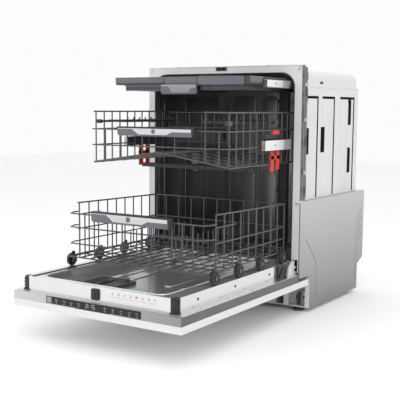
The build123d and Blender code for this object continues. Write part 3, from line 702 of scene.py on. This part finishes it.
# %% Levers, housings and prongs
LEVER = [(-112, 600), (-112, 607), (-106, 612), (-68, 612), (-62, 606), (-62, 600)]
for side, where in HANDS:
    x0, x1 = between(side, 251.4, 256.0)
    nodes = ("height_adjusters",) if side > 0 else ()
    lever = [
        cut_plate(LEVER, "x", x0, x1, 0.6),
        block((x0, -120, 484), (x1, -98, 552), 1.0),
        block((x0, -82, 490), (x1, -62, 552), 1.0),
        block((x0, -122, 522), (x1, -61, 534), 1.0),
    ]
    for y in (-115, -107, -75):
        lever.append(block((x0 - 0.3, y, 494), (x1 + 0.3, y + 2, 518), 0.3))
    fit("adjuster_lever_" + where, lever, RED, "red_plastic", "upper_rack", *nodes)
    house = [plate((x0 - 0.3, -164, 584), (x1 + 0.3, -62, 600), "x", 4, 0.6)]
    for y in (-150, -134, -118, -102, -86):
        house.append(block((x0 - 0.6, y, 586), (x1 + 0.6, y + 3, 598), 0.4))
    fit("adjuster_housing_" + where, house, BLACK, "black_plastic", "upper_rack")

# %% Bright end plates of the slides, each with its hole
def end_plate(name, body, x0, x1, y0, y1, z0, z1, hole):
    """A folded bright plate with a dark screw where its hole is."""
    sheet = plate((x0, y0, z0), (x1, y1, z1), "x", 2.0, 0.4)
    lip = block((x0, y0 - 0.6, z0 + 1), (x1 + 0.05, y0 + 1.2, z1 - 1), 0.1)
    fit(name, [sheet, lip], STEEL_BRIGHT, "rail_steel", body)
    y, z = hole
    ring = rod((x1 - 0.2, y, z), (x1 + 0.06, y, z), 3.2, 20)
    fit(name + "_stud", ring, BLACK, "black_plastic", body)


end_plate("upper_slide_plate", "upper_rack", 269.5, 269.75, -182, -62, 552, 582, (-120, 567))
end_plate("tray_slide_plate", "tray", 263.9, 264.2, -166, -62, 746, 766, (-112, 756))
print("slide plates done")

# %% [markdown]
# ## Cutlery tray
# The tray's front edge is three blue-grey mouldings that meet with thin shadow gaps. The middle one
# carries the grip, with a pale cover like the rack handles have. Behind it the wells stay dark.

# %% Front rail in three lengths
TRAY_FRONT = -250.0
rails = []
for x0, x1, z0, z1 in ((-250, -56, 757, 776), (-54, 66, 753, 776), (68, 232, 750, 776)):
    bar = cut_plate(
        [(x0, z1), (x0, z0 + 3), (x0 + 2, z0), (x1 - 2, z0), (x1, z0 + 3), (x1, z1)],
        "y", TRAY_FRONT - 3.2, TRAY_FRONT - 0.3, 0.6,
    )
    rails.append(bar)
    rails.append(block((x0, TRAY_FRONT - 3.8, z1 - 3), (x1, TRAY_FRONT - 0.3, z1 - 0.2), 0.5))
rails.append(block((250.2, -250, 757), (251.6, -172, 776), 0.5))
fit("tray_rails", rails, TRAY_BLUE, "grip_grey", "tray")

# %% Grip under the middle length
grip = cut_plate(
    [(-66, 752), (-66, 728), (-60, 722), (62, 722), (68, 728), (68, 752)],
    "y", -258.2, -256.2, 0.6,
)
fit("tray_grip", grip, TRAY_BLUE, "grip_grey", "tray")
cover = cut_plate(
    [(-64, 751.5), (-64, 746), (-38, 746), (-24, 727), (38, 727), (50, 741), (66, 741), (66, 751.5)],
    "y", -259.4, -258.0, 0.5,
)
fit("tray_grip_cover", cover, SILVER_DULL, "grip_grey", "tray")

# %% Hanging basket on the left: comb walls below the rail
comb = [
    block((-216, -246.6, 746), (-68, -244.2, 752), 0.5),
    block((-214, -246.6, 733), (-70, -244.6, 736.5), 0.5),
]
for i in range(13):
    x = -212 + 11.6 * i
    comb.append(block((x, -246.4, 736), (x + 3.2, -244.8, 748), 0.3))
fit("tray_basket_comb", comb, TRAY_BLUE, "grip_grey", "tray")

# %% Shallow dark well under the right length
under = [
    block((74, -246.8, 735.5), (222, -245.0, 751.8), 0.5),
    block((74, -246.8, 734), (222, 150, 736.2), 0.5),
    block((220.2, -246.8, 734.2), (222, 150, 751.8), 0.4),
    block((74, -246.8, 734.2), (75.8, 150, 751.8), 0.4),
]
under += [block((x, -248.6, 734.5), (x + 2.6, -246.4, 756.8), 0.4) for x in (104, 219)]
fit("tray_right_well", under, TRAY_DARK, "grip_grey", "tray")

# %% Cutlery rests in the wells: thin toothed strips
def toothed_strip(name, x0, x1, y, z, tall=12):
    teeth = [block((x0, y, z), (x1, y + 2, z + 3), 0.3)]
    count = int((x1 - x0) // 9)
    for i in range(count):
        x = x0 + 4 + 9 * i
        tooth = [(x, z + 2), (x + 2.4, z + 2), (x + 1.8, z + tall), (x + 0.6, z + tall)]
        teeth.append(cut_plate(tooth, "y", y, y + 2, 0))
    fit(name, teeth, TRAY_BLUE, "grip_grey", "tray")


for i, y in enumerate((-190, -90, 10, 100)):
    toothed_strip("tray_teeth_middle_%d" % i, -54, 56, y, 754.2)
for i, y in enumerate((-140, 20)):
    toothed_strip("tray_teeth_right_%d" % i, 156, 240, y, 754.2, 7)
print("tray dressed")

# %% [markdown]
# ## Cup shelves
# The folding shelves are black combs whose teeth curl up at the free edge, so that cup rims cannot slide
# off.

# %% Curled teeth on both shelves
for side, where in HANDS:
    curls = []
    x0, x1 = between(side, 170, 178)
    for i in range(9):
        y = -332.5 + 30.8 * i
        points = [(side * 216, y, 639.5), (side * 152, y, 639.5), (side * 141, y, 641), (side * 137, y, 650)]
        curls.append(pipe(points, 1.9, 3, 2))
    for i in range(4):
        y = -320 + 62 * i
        curls.append(block((x0, y, 638.4), (x1, y + 44, 641.6), 0.6))
    fit("shelf_comb_" + where, curls, BLACK, "black_plastic", "shelf_" + where)
print("shelves dressed")

# %% [markdown]
# ## Upper shell
# The outer shell is a pale moulded jacket with three bent grooves, and its slots open on a black mat behind.
# A groove cut in the CAD would look pale, because it is the same plastic, so a near-black strip is laid in
# each groove as painted shade.

# %% Painted shade strips in the grooves, slot backs and the notch, one set a side
SHELL_FACE, GROOVE_DEPTH = 284.0, 3.0
for side, where in HANDS:
    x0, x1 = between(side, SHELL_FACE - GROOVE_DEPTH + 0.1, SHELL_FACE + 0.35)
    # Near-black strips in the three grooves: painted shade.
    groove_shade = []
    for y0, y1, foot in ((60, 157, 381), (190, 291, 381), (338, 465, 381)):
        groove_shade.append(block((x0, y1 - 8.2, foot), (x1, y1 + 0.8, 713.5), 0))
        groove_shade.append(block((x0, y0 - 0.6, 713.3), (x1, y1 + 0.8, 721.6), 0))
    fit("shell_groove_shade_" + where, groove_shade, BLACK_FILL, "black_plastic")
    xa, xb = between(side, 276.3, 284.3)
    backs = [plate((xa, 63, 531), (xb, 88, 617), "x", 2, 0)]
    backs.append(plate((xa, 181, 533), (xb, 212, 619), "x", 2, 0))
    for z0 in (628, 456):
        backs.append(plate((xa, 408, z0 - 6), (xb, 437, z0 + 86), "x", 9, 0))
    xc, xd = between(side, 284.1, 285.2)
    for y0, z0 in ((66, 534), (184, 536)):
        for z in (z0 + 12, z0 + 50):
            backs.append(block((xc, y0 + 1, z), (xd, y0 + 12, z + 14), 0.4))
    fit("shell_slot_backs_" + where, backs, BLACK_FILL, "black_plastic")
    xe, xf = between(side, 280.5, 284.6)
    latch = cut_plate([(166, 762), (192, 762), (192, 766), (184, 772), (166, 768)], "x", xe, xf, 0.5)
    fit("shell_notch_" + where, [latch], BLACK, "black_plastic")
    xg, xh = between(side, 284.02, 285.4)
    rims = [
        block((xg, 30, 749.5), (xh, 498, 752.5), 0.5),
        block((xg, 30, 380), (xh, 498, 384), 0.6),
    ]
    fit("shell_seams_" + where, rims, SHELL_WHITE, "white_shell")
    xi, xj = between(side, 284.02, 284.8)
    fields = []
    for y0, y1 in ((64, 148), (194, 282), (342, 410)):
        fields.append(plate((xi, y0, 625 if y0 < 300 else 392), (xj, y1, 706), "x", 9, 0.35))
    fit("shell_fields_" + where, fields, SHELL_WHITE, "white_shell")
print("shell dressed")

# %% [markdown]
# ## Lower side panels
# These are zinc-coated sheets with pressed lines. Each line is a fold a few tenths deep that fills with
# dirt and shade, so a dark sliver lies in each CAD groove.

# %% Pressed lines
PRESSED = [
    [(53, 255), (136, 166), (140, 45)], [(532, 310), (478, 256)], [(532, 281), (478, 227)],
    [(532, 251), (478, 197)], [(532, 222), (484, 174), (484, 50)],
]


def ribbon(line, half, axis, low, high):
    """A narrow strip along a bent line."""
    strips = []
    for start, end in zip(line, line[1:]):
        a, b = Vector(start), Vector(end)
        out = (b - a).normalized().orthogonal() * half
        corner_points = [tuple(a + out), tuple(b + out), tuple(b - out), tuple(a - out)]
        strips.append(cut_plate(corner_points, axis, low, high, 0))
    return strips


for side, where in HANDS:
    x0, x1 = between(side, 298.6, 299.05)
    slivers = []
    for line in PRESSED:
        slivers += ribbon(line, 0.95, "x", x0, x1)
    fit("panel_lines_" + where, slivers, DARK, "panel_steel")
    x2, x3 = between(side, 297.9, 299.1)
    hem = [
        block((x2, 8.2, 131), (x3, 10.2, 378.4), 0.4),
        block((x2, 92.2, 16), (x3, 94.0, 126), 0.4),
        block((x2, 10.2, 376.9), (x3, 548, 378.8), 0.4),
    ]
    fit("panel_hem_" + where, hem, STEEL_SIDE, "panel_steel")
print("side panels dressed")

# %% [markdown]
# ## Front frame
# The frame is a painted steel plate, bent back at its sides. A rubber lip follows the mouth of the tub,
# and the bent sides carry dark slots and screws.

# %% Lip round the mouth
LIP = [(272.4, 244), (272.4, 750), (259, 781), (228, 793.4)]
LIP = [(-x, z) for x, z in LIP] + LIP[::-1]
lip = pipe([(x, 1.6, z) for x, z in LIP], 2.1, 22, 3)
fit("mouth_lip", lip, BLACK, "gasket_rubber")
seal = pipe([(x * 0.9985, 9, z - 1) for x, z in LIP], 3.0, 22, 3)
fit("mouth_seal", seal, RUBBER, "gasket_rubber")

# %% Return edges of the frame, coloured dark as painted shade, with their slots and clips
for side, where in HANDS:
    x0, x1 = between(side, 297.85, 298.5)
    strip = [block((x0, 2.0, 384), (x1, 25.6, 817), 0.3)]
    strip += [block((x0, 2.0, 150), (x1, 7.4, 379), 0.3)]
    fit("frame_return_shade_" + where, strip, DARK_STEEL_AND_SHADE, "frame_steel")
    x2, x3 = between(side, 298.4, 299.0)
    marks = []
    for z, tall in ((640, 52), (560, 22), (470, 22), (410, 16), (716, 14), (776, 14)):
        marks.append(plate((x2, 9, z), (x3, 17, z + tall), "x", 2, 0.2))
    fit("frame_slots_" + where, marks, BLACK, "black_plastic")
    studs = []
    for x, z in ((288, 806), (288, 375), (288, 168)):
        head = rod((side * x, -0.02, z), (side * x, -1.6, z), 4.2, 24, 0.5)
        slot = block((side * x - 2.6, -1.9, z - 0.5), (side * x + 2.6, -1.5, z + 0.5), 0.1)
        studs += [head, slot]
    fit("frame_studs_" + where, studs, CHROME, "screw_steel")

for side, where in HANDS:
    x0, x1 = between(side, 284.2, 297.0)
    # A dark steel block filling the gap behind the return: painted shade.
    channel = [block((x0, 26.2, 384), (x1, 45, 812), 0.5)]
    fit("frame_gap_shade_" + where, channel, DARK_STEEL_AND_SHADE, "frame_steel")
    clips = []
    for z, tall in ((392, 70), (530, 88), (700, 44), (772, 24)):
        clips.append(block((x0, 44.6, z), (x1, 49, z + tall), 1.0))
    x2, x3 = between(side, 295.6, 297.4)
    clips += [block((x2, 30, z), (x3, 44, z + 30), 0.5) for z in (400, 560, 720)]
    fit("channel_clips_" + where, clips, BLACK, "black_plastic")
    x2, x3 = between(side, 296.9, 297.7)
    tags = [block((x2, 28, z), (x3, 40, z + 9), 0.3) for z in (470, 640, 752)]
    fit("channel_tags_" + where, tags, CHROME, "frame_steel")
folds = [block((-296, -0.9, 816.2), (296, 1.2, 818.6), 0.4)]
folds += [block((x, -0.7, 150), (x + 1.8, 1.0, 817), 0.3) for x in (-297.6, 295.8)]
fit("frame_folds", folds, FRAME_PAINT, "frame_steel")
pins = [rod((x, 6, 818.5), (x, 6, 820), 4, 16, 0.3) for x in (-175, 175)]
fit("frame_pins", pins, DARK, "black_plastic")
print("front frame dressed")

# %% [markdown]
# ## Inside the tub
# Deep-drawn panels stiffen the thin tub. Each is a raised field with a generous corner radius, and soft
# edges catch the light. They are built as thin plates with wide bevels, laid on the walls.

# %% Raised fields on the side walls
def field(low, high, axis, radius, swell):
    """A pressed field: rounded corners and a rounded shoulder."""
    made = block(low, high, 0)
    round_corners(made, axis, radius, segments=8)
    return ease(made, swell, 4)


for side, where in HANDS:
    x0, x1 = between(side, 271.4, 275.2)
    pressed = []
    for y0, y1 in ((57, 169), (196, 317), (344, 440)):
        pressed.append(field((x0, y0, 604), (x1, y1, 718), "x", 20, 3.4))
        pressed.append(field((x0, y0, 250), (x1, y1, 530), "x", 20, 3.4))
    for y in (14, 26):
        pressed.append(block((x0 + 1.4 * (side > 0), y, 200), (x1 - 1.4 * (side < 0), y + 4, 735), 1.1, 3))
    fit("tub_pressings_" + where, pressed, STEEL_TUB, "tub_steel")

# %% Fields and ribs on the back wall
back = []
for x0, x1 in ((-226, -122), (-96, -30), (30, 96), (122, 226)):
    back.append(field((x0, 466.2, 470), (x1, 470.2, 727), "y", 22, 3.4))
    back.append(field((x0, 466.2, 214), (x1, 470.2, 440), "y", 22, 3.4))
for x in (-240, -109, 109, 240):
    back.append(field((x - 4, 465.4, 205), (x + 4, 470.2, 735), "y", 3.8, 2.4))
fit("tub_back_pressings", back, STEEL_TUB, "tub_steel")
duct = [block((-23, 458.5, z), (23, 469.8, z + 9), 1.2) for z in (240, 360, 580, 700)]
duct += [field((-15, 458.8, z0), (15, 460.4, z1), "y", 6, 1.0) for z0, z1 in ((260, 480), (600, 740))]
fit("duct_clips", duct, DARK, "dark_plastic")
print("tub dressed")

# %% [markdown]
# ## Door front edge
# With the door open, its upper edge shows the controls: a black glass strip with lit symbols and plain
# digits, and above it a printed row that explains them. The symbols are thin solid lines a few tenths of
# a millimetre proud, so they survive in any export. All are generic, and the maker's corner stays bare.

# %% Symbols drawn as thin pipes on a front-facing plane
GLASS_FACE = -677.3


def symbol(lines, x, z, size, y, thick):
    """Thin lines on the front, given as (across, up) points in a unit square about the centre."""
    made = []
    for line in lines:
        made.append(pipe([(x + a * size, y, z + b * size) for a, b in line], thick, 0, 1))
    return made


def loop(radius, count=14, start=0.0, turn=1.0, cx=0.0, cz=0.0):
    """Points round a circle or part of one."""
    turns = [2 * math.pi * (start + turn * i / count) for i in range(count + 1)]
    return [(cx + radius * math.cos(a), cz + radius * math.sin(a)) for a in turns]


BOWL = [(-0.4, 0.3), (-0.3, -0.4), (0.25, -0.4), (0.35, 0.3), (-0.4, 0.3)]
CUP = [BOWL, loop(0.16, 8, -0.25, 0.5, 0.34, 0.0)]
DROP = [[(0, 0.5), (-0.28, 0.0)] + loop(0.3, 10, 0.5, 0.5, 0, -0.12) + [(0, 0.5)]]
CLOCK = [loop(0.42, 16), [(0, 0.25), (0, 0), (0.2, 0)]]
PLATE = [loop(0.44, 16), loop(0.22, 12)]
PLAY = [[(-0.3, 0.4), (0.4, 0), (-0.3, -0.4), (-0.3, 0.4)]]
LEAF = [[(-0.4, -0.4), (-0.3, 0.2), (0.4, 0.4), (0.3, -0.2), (-0.4, -0.4), (0.15, 0.15)]]
HALF = [[(-0.45, 0.1), (0.45, 0.1)], loop(0.4, 10, 0.5, 0.5, 0, 0.05), [(-0.2, -0.5), (0.2, -0.5)]]
POWER = [loop(0.38, 14, 0.32, 0.86), [(0, 0.5), (0, 0.05)]]
WAVES = [[(-0.45, h), (-0.15, h + 0.18), (0.15, h - 0.12), (0.45, h + 0.06)] for h in (-0.3, 0.0, 0.3)]

# %% Lit symbols on the glass
lit = []
ROW = [
    (-158, POWER), (-131, PLATE), (-103, CUP), (-75, HALF), (-48, DROP),
    (46, CLOCK), (74, WAVES), (102, LEAF), (130, CUP), (156, PLAY),
]
for x, lines in ROW:
    lit += symbol(lines, x, 131.2, 8.4, GLASS_FACE + 0.05, 0.24)
    lit.append(block((x - 3.4, GLASS_FACE - 0.15, 123.4), (x + 3.4, GLASS_FACE + 0.15, 124.0), 0))

# %% Plain digits of the time left
SEGMENTS = {"1": "bc", "2": "abged", "5": "afgcd"}
STROKES = {
    "a": ((0, 1), (1, 1)), "b": ((1, 1), (1, 0.5)), "c": ((1, 0.5), (1, 0)), "d": ((0, 0), (1, 0)),
    "e": ((0, 0.5), (0, 0)), "f": ((0, 1), (0, 0.5)), "g": ((0, 0.5), (1, 0.5)),
}
for x, digit in ((-22, "2"), (-8, "1"), (3, "5")):
    for key in SEGMENTS[digit]:
        ends = [(x + 7 * p, GLASS_FACE + 0.25, 124.5 + 11.5 * q) for p, q in STROKES[key]]
        lit.append(pipe(ends, 0.5, 0, 1))
for z in (127.5, 132.5):
    lit.append(rod((-11.4, GLASS_FACE - 0.2, z), (-11.4, GLASS_FACE + 0.1, z), 0.9, 10))
fit("display_symbols", lit, LIT, "black_glass")
KEY = [(-167, 121.6), (-167, 138.9), (-150, 138.9), (-150, 121.6)]
frame_line = cut_plate(KEY, "y", GLASS_FACE - 0.15, GLASS_FACE + 0.1, 0)
fit("display_key_field", frame_line, printed("key_field", (0.30, 0.30, 0.31)), "black_glass")

# %% Printed row on the door's rim
RIM_FACE = -660.0
legend, dots = [], []
for i, lines in enumerate((DROP, CLOCK, LEAF, CUP, PLATE, HALF, WAVES, PLAY)):
    x = 60 + 20.5 * i
    legend += symbol(lines, x, 172, 8.0, RIM_FACE - 0.1, 0.4)
    dots.append(rod((x, RIM_FACE - 0.3, 151.5), (x, RIM_FACE + 0.1, 151.5), 1.0, 10))
    dots.append(rod((x, RIM_FACE - 0.3, 158.5), (x, RIM_FACE + 0.1, 158.5), 0.7, 8))
dots.append(block((54, RIM_FACE - 0.25, 162.4), (208, RIM_FACE + 0.1, 163.3), 0))
fit("legend_symbols", legend, INK_GREY, "polished_steel")
fit("legend_line", dots, INK_ORANGE, "polished_steel")
print("controls drawn:", len(ROW), "symbols")

# %% [markdown]
# ## Door rim and corners
# The inner door is one bright pressing. Black corner pieces cover its front corners, a seal lies along
# its left rim, and a bead runs round the basin so that it reads as folded sheet.

# %% Corner covers with ribs
caps = []
for side in (-1, 1):
    for i in range(4):
        z = 148 + 9 * i
        x0, x1 = between(side, 255.5, 272.8)
        caps.append(block((x0, -661.8, z), (x1, -659.5, z + 3.4), 0.5))
    xa, xb = between(side, 271.6, 273.2)
    for y in (-657, -650):
        caps.append(block((xa, y, 146), (xb, y + 3.4, 182), 0.5))
    xa, xb = between(side, 250, 274)
    caps.append(block((xa, -662.5, 143.2), (xb, -640, 146.4), 0.7))
fit("corner_cap_ribs", caps, BLACK, "black_plastic")

# %% Catch: an oval hook plate in the middle
hook = [
    field((-12.5, -665.8, 148.5), (12.5, -663.5, 177.5), "y", 11.5, 1.0),
    block((-3.2, -668.4, 156), (3.2, -665, 171), 1.0),
]
fit("catch_oval", hook, BLACK, "black_plastic")

# %% Seals and bead
seal_line = block((-246, -655, 185.5), (-236, -150, 187.2), 0.8)
fit("rim_seal_left", seal_line, BLACK, "gasket_rubber")


def ring_route(half, near, far, z):
    """Round the basin and back to a point on its left side."""
    corners = [(-half, -300), (-half, near), (half, near), (half, far), (-half, far), (-half, -301)]
    return [(x, y, z) for x, y in corners]


bead_route = ring_route(221, -645, -26, 185.6)
fit("basin_bead", pipe(bead_route, 1.5, 34, 2), STEEL_BASIN, "polished_steel")
low_route = ring_route(200, -624, -46, 151.4)
fit("basin_floor_bead", pipe(low_route, 1.3, 26, 2), STEEL_BASIN, "polished_steel")
ribs = [field((x, -420, 151.0), (x + 26, -60, 153.4), "z", 12, 1.6) for x in (-150, -90, 60, 120)]
fit("basin_ribs", ribs, STEEL_BASIN, "polished_steel")
puck = [rod((-178, -540, 151.2), (-178, -540, 156), 13, 32, 1.2)]
puck.append(rod((-178, -540, 156), (-178, -540, 159), 7, 24, 0.8))
fit("basin_vent", puck, BLACK, "black_plastic")

# %% Door side: light flange slots, screws and painted shadow on the stepped strip end
for side, where in HANDS:
    x0, x1 = between(side, 272.05, 272.9)
    plugs = [plate((x0, y, 163), (x1, y + 7, 170), "x", 1.2, 0.2) for y in (-150, -360, -560)]
    fit("rim_windows_" + where, plugs, BLACK, "black_plastic")
    x2, x3 = between(side, 297.55, 298.9)
    shadow = [block((x2, -676, 117.6), (x3, -565, 141.6), 0.3)]
    fit("strip_end_shadow_" + where, shadow, DARK_STEEL_AND_SHADE, "side_grey")
    x4 = side * 285
    heads = [rod((x4, y, 142.9), (x4, y, 144.4), 3.4, 20, 0.4) for y in (-560, -420, -280, -140)]
    fit("flange_screws_" + where, heads, CHROME, "screw_steel")
print("door dressed")

# %% [markdown]
# ## Dispenser
# The dispenser is a flat black case with a sliding lid over the powder cup and a round cap for rinse aid.
# It is on the door, in the basin, where the lower rack half hides it.

# %% Case edge, cap wings and lid grip
case = [
    field((-151, -561, 158.0), (-145.5, -439, 160.4), "z", 2.4, 0.9),
    field((-28.5, -561, 158.0), (-23, -439, 160.4), "z", 2.4, 0.9),
    field((-146, -561, 158.0), (-28, -557, 160.4), "z", 1.8, 0.9),
    field((-146, -443, 158.0), (-60, -439, 160.4), "z", 1.8, 0.9),
    block((-56.5, -449.2, 161.1), (-43.5, -446.8, 164.2), 0.7),
]
fit("dispenser_edges", case, DARK, "dark_plastic")
grips = [block((-141 + 5 * i, -546, 162.4), (-138.6 + 5 * i, -472, 163.4), 0.4) for i in range(8)]
fit("lid_grips", grips, DARK, "dark_plastic", "detergent_lid")
print("dispenser dressed")

# %% [markdown]
# ## Hinges
# A quarter-disc cheek stands in front of each side, and a spring arm and rollers sit in the corner behind
# it. The shape of the cheek is the CAD's. Its rim fold, rivets and the dark mechanism are added.

# %% Cheek rims, rivets and mechanism
for side, where in HANDS:
    xo = side * 285.4
    turns = [math.radians(a) for a in range(4, 86, 6)]
    arc = [(xo, 2 - 44 * math.sin(a), 143 + 44 * math.cos(a)) for a in turns]
    rim = [pipe(arc, 1.1, 0, 2)]
    x0, x1 = between(side, 285.1, 286.4)
    for y, z in ((-14, 158), (-4, 176), (-28, 150)):
        rim.append(rod((x0, y, z), (x1, y, z), 3.2, 20, 0.4))
    fit("hinge_rim_" + where, rim, BRACKET_WHITE, "bracket_steel")
    xa, xb = between(side, 280.4, 284.6)
    rollers = ((-57, 166, 8), (-76, 158, 6), (-60, 150, 4.5))
    works = [rod((xa, y, z), (xb, y, z), r, 28, 0.6) for y, z, r in rollers]
    link = [(-96, 146), (-50, 146), (-48, 154), (-66, 176), (-74, 176), (-94, 156)]
    works.append(cut_plate(link, "x", xa + 0.4, xb - 1.4, 0.6))
    for i in range(5):
        works.append(block((xa + 0.6, -94 + 9 * i, 146), (xb - 0.8, -91 + 9 * i, 156 + 3 * i), 0.4))
    fit("hinge_works_" + where, works, BLACK, "black_plastic")
print("hinges dressed")

# %% [markdown]
# ## Base
# Under the door the base shows a white front plate with a dark gap, a perforated leg bracket, and the
# rods that set the rear feet from the front. These parts are small but they tell that the machine is
# built in.

# %% Front plate seam, ribs and service cover
plate_bits = [
    field((-150, 89.6, 44), (-20, 92.2, 136), "y", 6, 1.2),
    field((0, 89.6, 44), (130, 92.2, 136), "y", 6, 1.2),
    block((-170, 86.5, 14.2), (170, 92, 17.6), 0.8),
    block((164.4, 90.6, 20), (166.6, 92.2, 148), 0.4),
]
fit("base_front_fields", plate_bits, BRACKET_WHITE, "base_plastic")
holes = [plate((x, 91.2, 96), (x + 9, 92.1, 101), "y", 1.5, 0) for x in (141, -163)]
fit("base_slots", holes, BLACK, "black_plastic")

# %% Foot rods, springs and brackets
for side, where in HANDS:
    xa, xb = between(side, 181, 191)
    xc, xd = between(side, 172, 200)
    rods = [
        rod((side * 186, 96, 60), (side * 186, 380, 60), 4, 16, 0.4),
        rod((side * 186, 91, 60), (side * 186, 97, 60), 7, 6, 0.5),
        block((xa, 100, 17.1), (xb, 104, 66), 0.6),
        block((xc, 118, 17.1), (xd, 121, 126), 0.5),
    ]
    turns = []
    for i in range(9 * 12 + 1):
        a = 2 * math.pi * i / 12
        turns.append((side * 196 + 5.4 * math.cos(a), 106.5 + 5.4 * math.sin(a), 28 + 88 * i / 108))
    rods.append(pipe(turns, 1.1, 0, 1))
    fit("foot_rods_" + where, rods, DARK, "bracket_steel")
    x0, x1 = between(side, 221, 281.5)
    steel = [block((x0, 126.4, 17.2), (x1, 128, 22), 0.5), block((x0, 126.4, 123), (x1, 128, 128), 0.5)]
    for x, z in ((275, 40), (275, 104), (228, 78)):
        steel.append(rod((side * x, 124.6, z), (side * x, 128.1, z), 5.6, 6, 0.4))
    fit("leg_bracket_folds_" + where, steel, BRACKET_WHITE, "bracket_steel")
    feet_low = [rod((side * 250, y, 6.2), (side * 250, y, 11), 12, 6, 0.6) for y in (112, 470)]
    fit("foot_nuts_" + where, feet_low, DARK, "foot_plastic")
print("base dressed")

# %% [markdown]
# ## Back
# The back is plain on the real machine: a steel cover with pressed fields, vents, a mains box and the two
# hose ports. Nobody sees it in a kitchen, but a fitter does.

# %% Pressed fields, vents and box on the back cover
rear = [field((x, 499.8, z), (x + 232, 502.6, z + 150), "y", 16, 2.4) for x in (-252, 20) for z in (400, 575)]
fit("rear_fields", rear, FRAME_PAINT, "frame_steel")
louvres = []
for x in range(-200, 201, 50):
    louvres += [plate((x - 15, 549.7, z), (x + 15, 550.1, z + 4), "y", 1.8, 0) for z in (303, 319, 335)]
for x in (-262, 26):
    louvres += [plate((x, 549.7, z), (x + 236, 550.1, z + 2), "y", 0.9, 0) for z in (150, 282)]
fit("rear_louvres", louvres, BLACK, "frame_steel")
box = [field((-36, 499.6, 44), (36, 528, 92), "y", 6, 2.0), rod((0, 514, 44.5), (0, 514, 36), 7, 24, 0.8)]
fit("mains_box", box, DARK, "dark_plastic")
collars = [rod((-180, 500.2, 70), (-180, 506, 70), 17, 32, 1.0)]
collars.append(rod((180, 500.2, 70), (180, 505, 70), 14, 32, 1.0))
fit("port_collars", collars, BASE_GREY, "base_plastic")
bolts = [rod((x, 499.9, z), (x, 501.8, z), 4, 20, 0.5) for x in (-266, 266) for z in (410, 560, 735)]
fit("rear_screws", bolts, CHROME, "screw_steel")
print("back dressed")

# %% [markdown]
# ## Studio
# The floor is plain and pale, and broad soft lights stand round the machine. The tub is dark inside, so its
# walls need large lights to reflect.

# %% Floor
clear_selection()
bpy.ops.mesh.primitive_plane_add(size=14, location=(0, 1.0, -0.0005))
floor = settle()
floor.name = "studio_floor"
paper = Finish("studio_paper", Roughness=0.85)
mottle = paper.noise(3.0, 2.0)
paper.drive("Base Color", paper.mix(mottle, (0.93, 0.93, 0.93, 1), (0.96, 0.96, 0.96, 1)))
floor.data.materials.append(paper.material)
floor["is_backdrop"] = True

# %% Lights
world = bpy.data.worlds.new("studio_world")
world.use_nodes = True
world.node_tree.nodes["Background"].inputs["Color"].default_value = (1.0, 1.0, 1.0, 1)
world.node_tree.nodes["Background"].inputs["Strength"].default_value = 0.98
bpy.context.scene.world = world


def soft_light(name, place, aim, size, watts):
    """A square lamp that looks at a point, both in metres from the front plane."""
    clear_selection()
    place = Vector(place) + Vector((0, FRONT * MM, 0))
    aim = Vector(aim) + Vector((0, FRONT * MM, 0))
    look = (aim - place).to_track_quat("-Z", "Y").to_euler()
    bpy.ops.object.light_add(type="AREA", location=place, rotation=look)
    lamp = bpy.context.object
    lamp.name = name
    lamp.data.size = size
    lamp.data.energy = watts


soft_light("key_light", (1.6, -2.0, 2.6), (0, -0.1, 0.4), 1.6, 19)
soft_light("fill_light", (-2.2, -1.8, 1.8), (0, 0, 0.4), 1.8, 9)
soft_light("top_light", (0.2, -0.3, 2.8), (0, 0, 0.5), 1.6, 10)

# %% Camera
CAMERA_PLACE = (1.475, -2.427 + FRONT * MM, 0.682)
TURN, DOWN, ROLL = 33.26, 6.63, 0.41
aim = Euler((0, 0, math.radians(TURN))).to_matrix() @ Euler((math.radians(90 - DOWN), 0, 0)).to_matrix()
aim = aim @ Euler((0, 0, math.radians(ROLL))).to_matrix()
bpy.ops.object.camera_add(location=CAMERA_PLACE, rotation=aim.to_euler())
camera = bpy.context.object
camera.name = "camera"
camera.data.lens = 75.4
camera.data.sensor_width = 36
camera.data.shift_x = 0.02175
camera.data.shift_y = 0.0115
camera.data.dof.use_dof = False
bpy.context.scene.camera = camera
bpy.context.scene.view_settings.view_transform = "Standard"
print("camera and lights placed")

# %% [markdown]
# ## Measure and finish
# How far the visual model reaches past the CAD model's box is measured and printed. The
# visual model has to stay inside the CAD model's box.

# %% Boxes and finish
model_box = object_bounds()
growth = [visual - cad for cad, visual in zip(cad_box, model_box)]
print("grown by, mm:", [[round(g / MM, 1) for g in corner] for corner in growth])
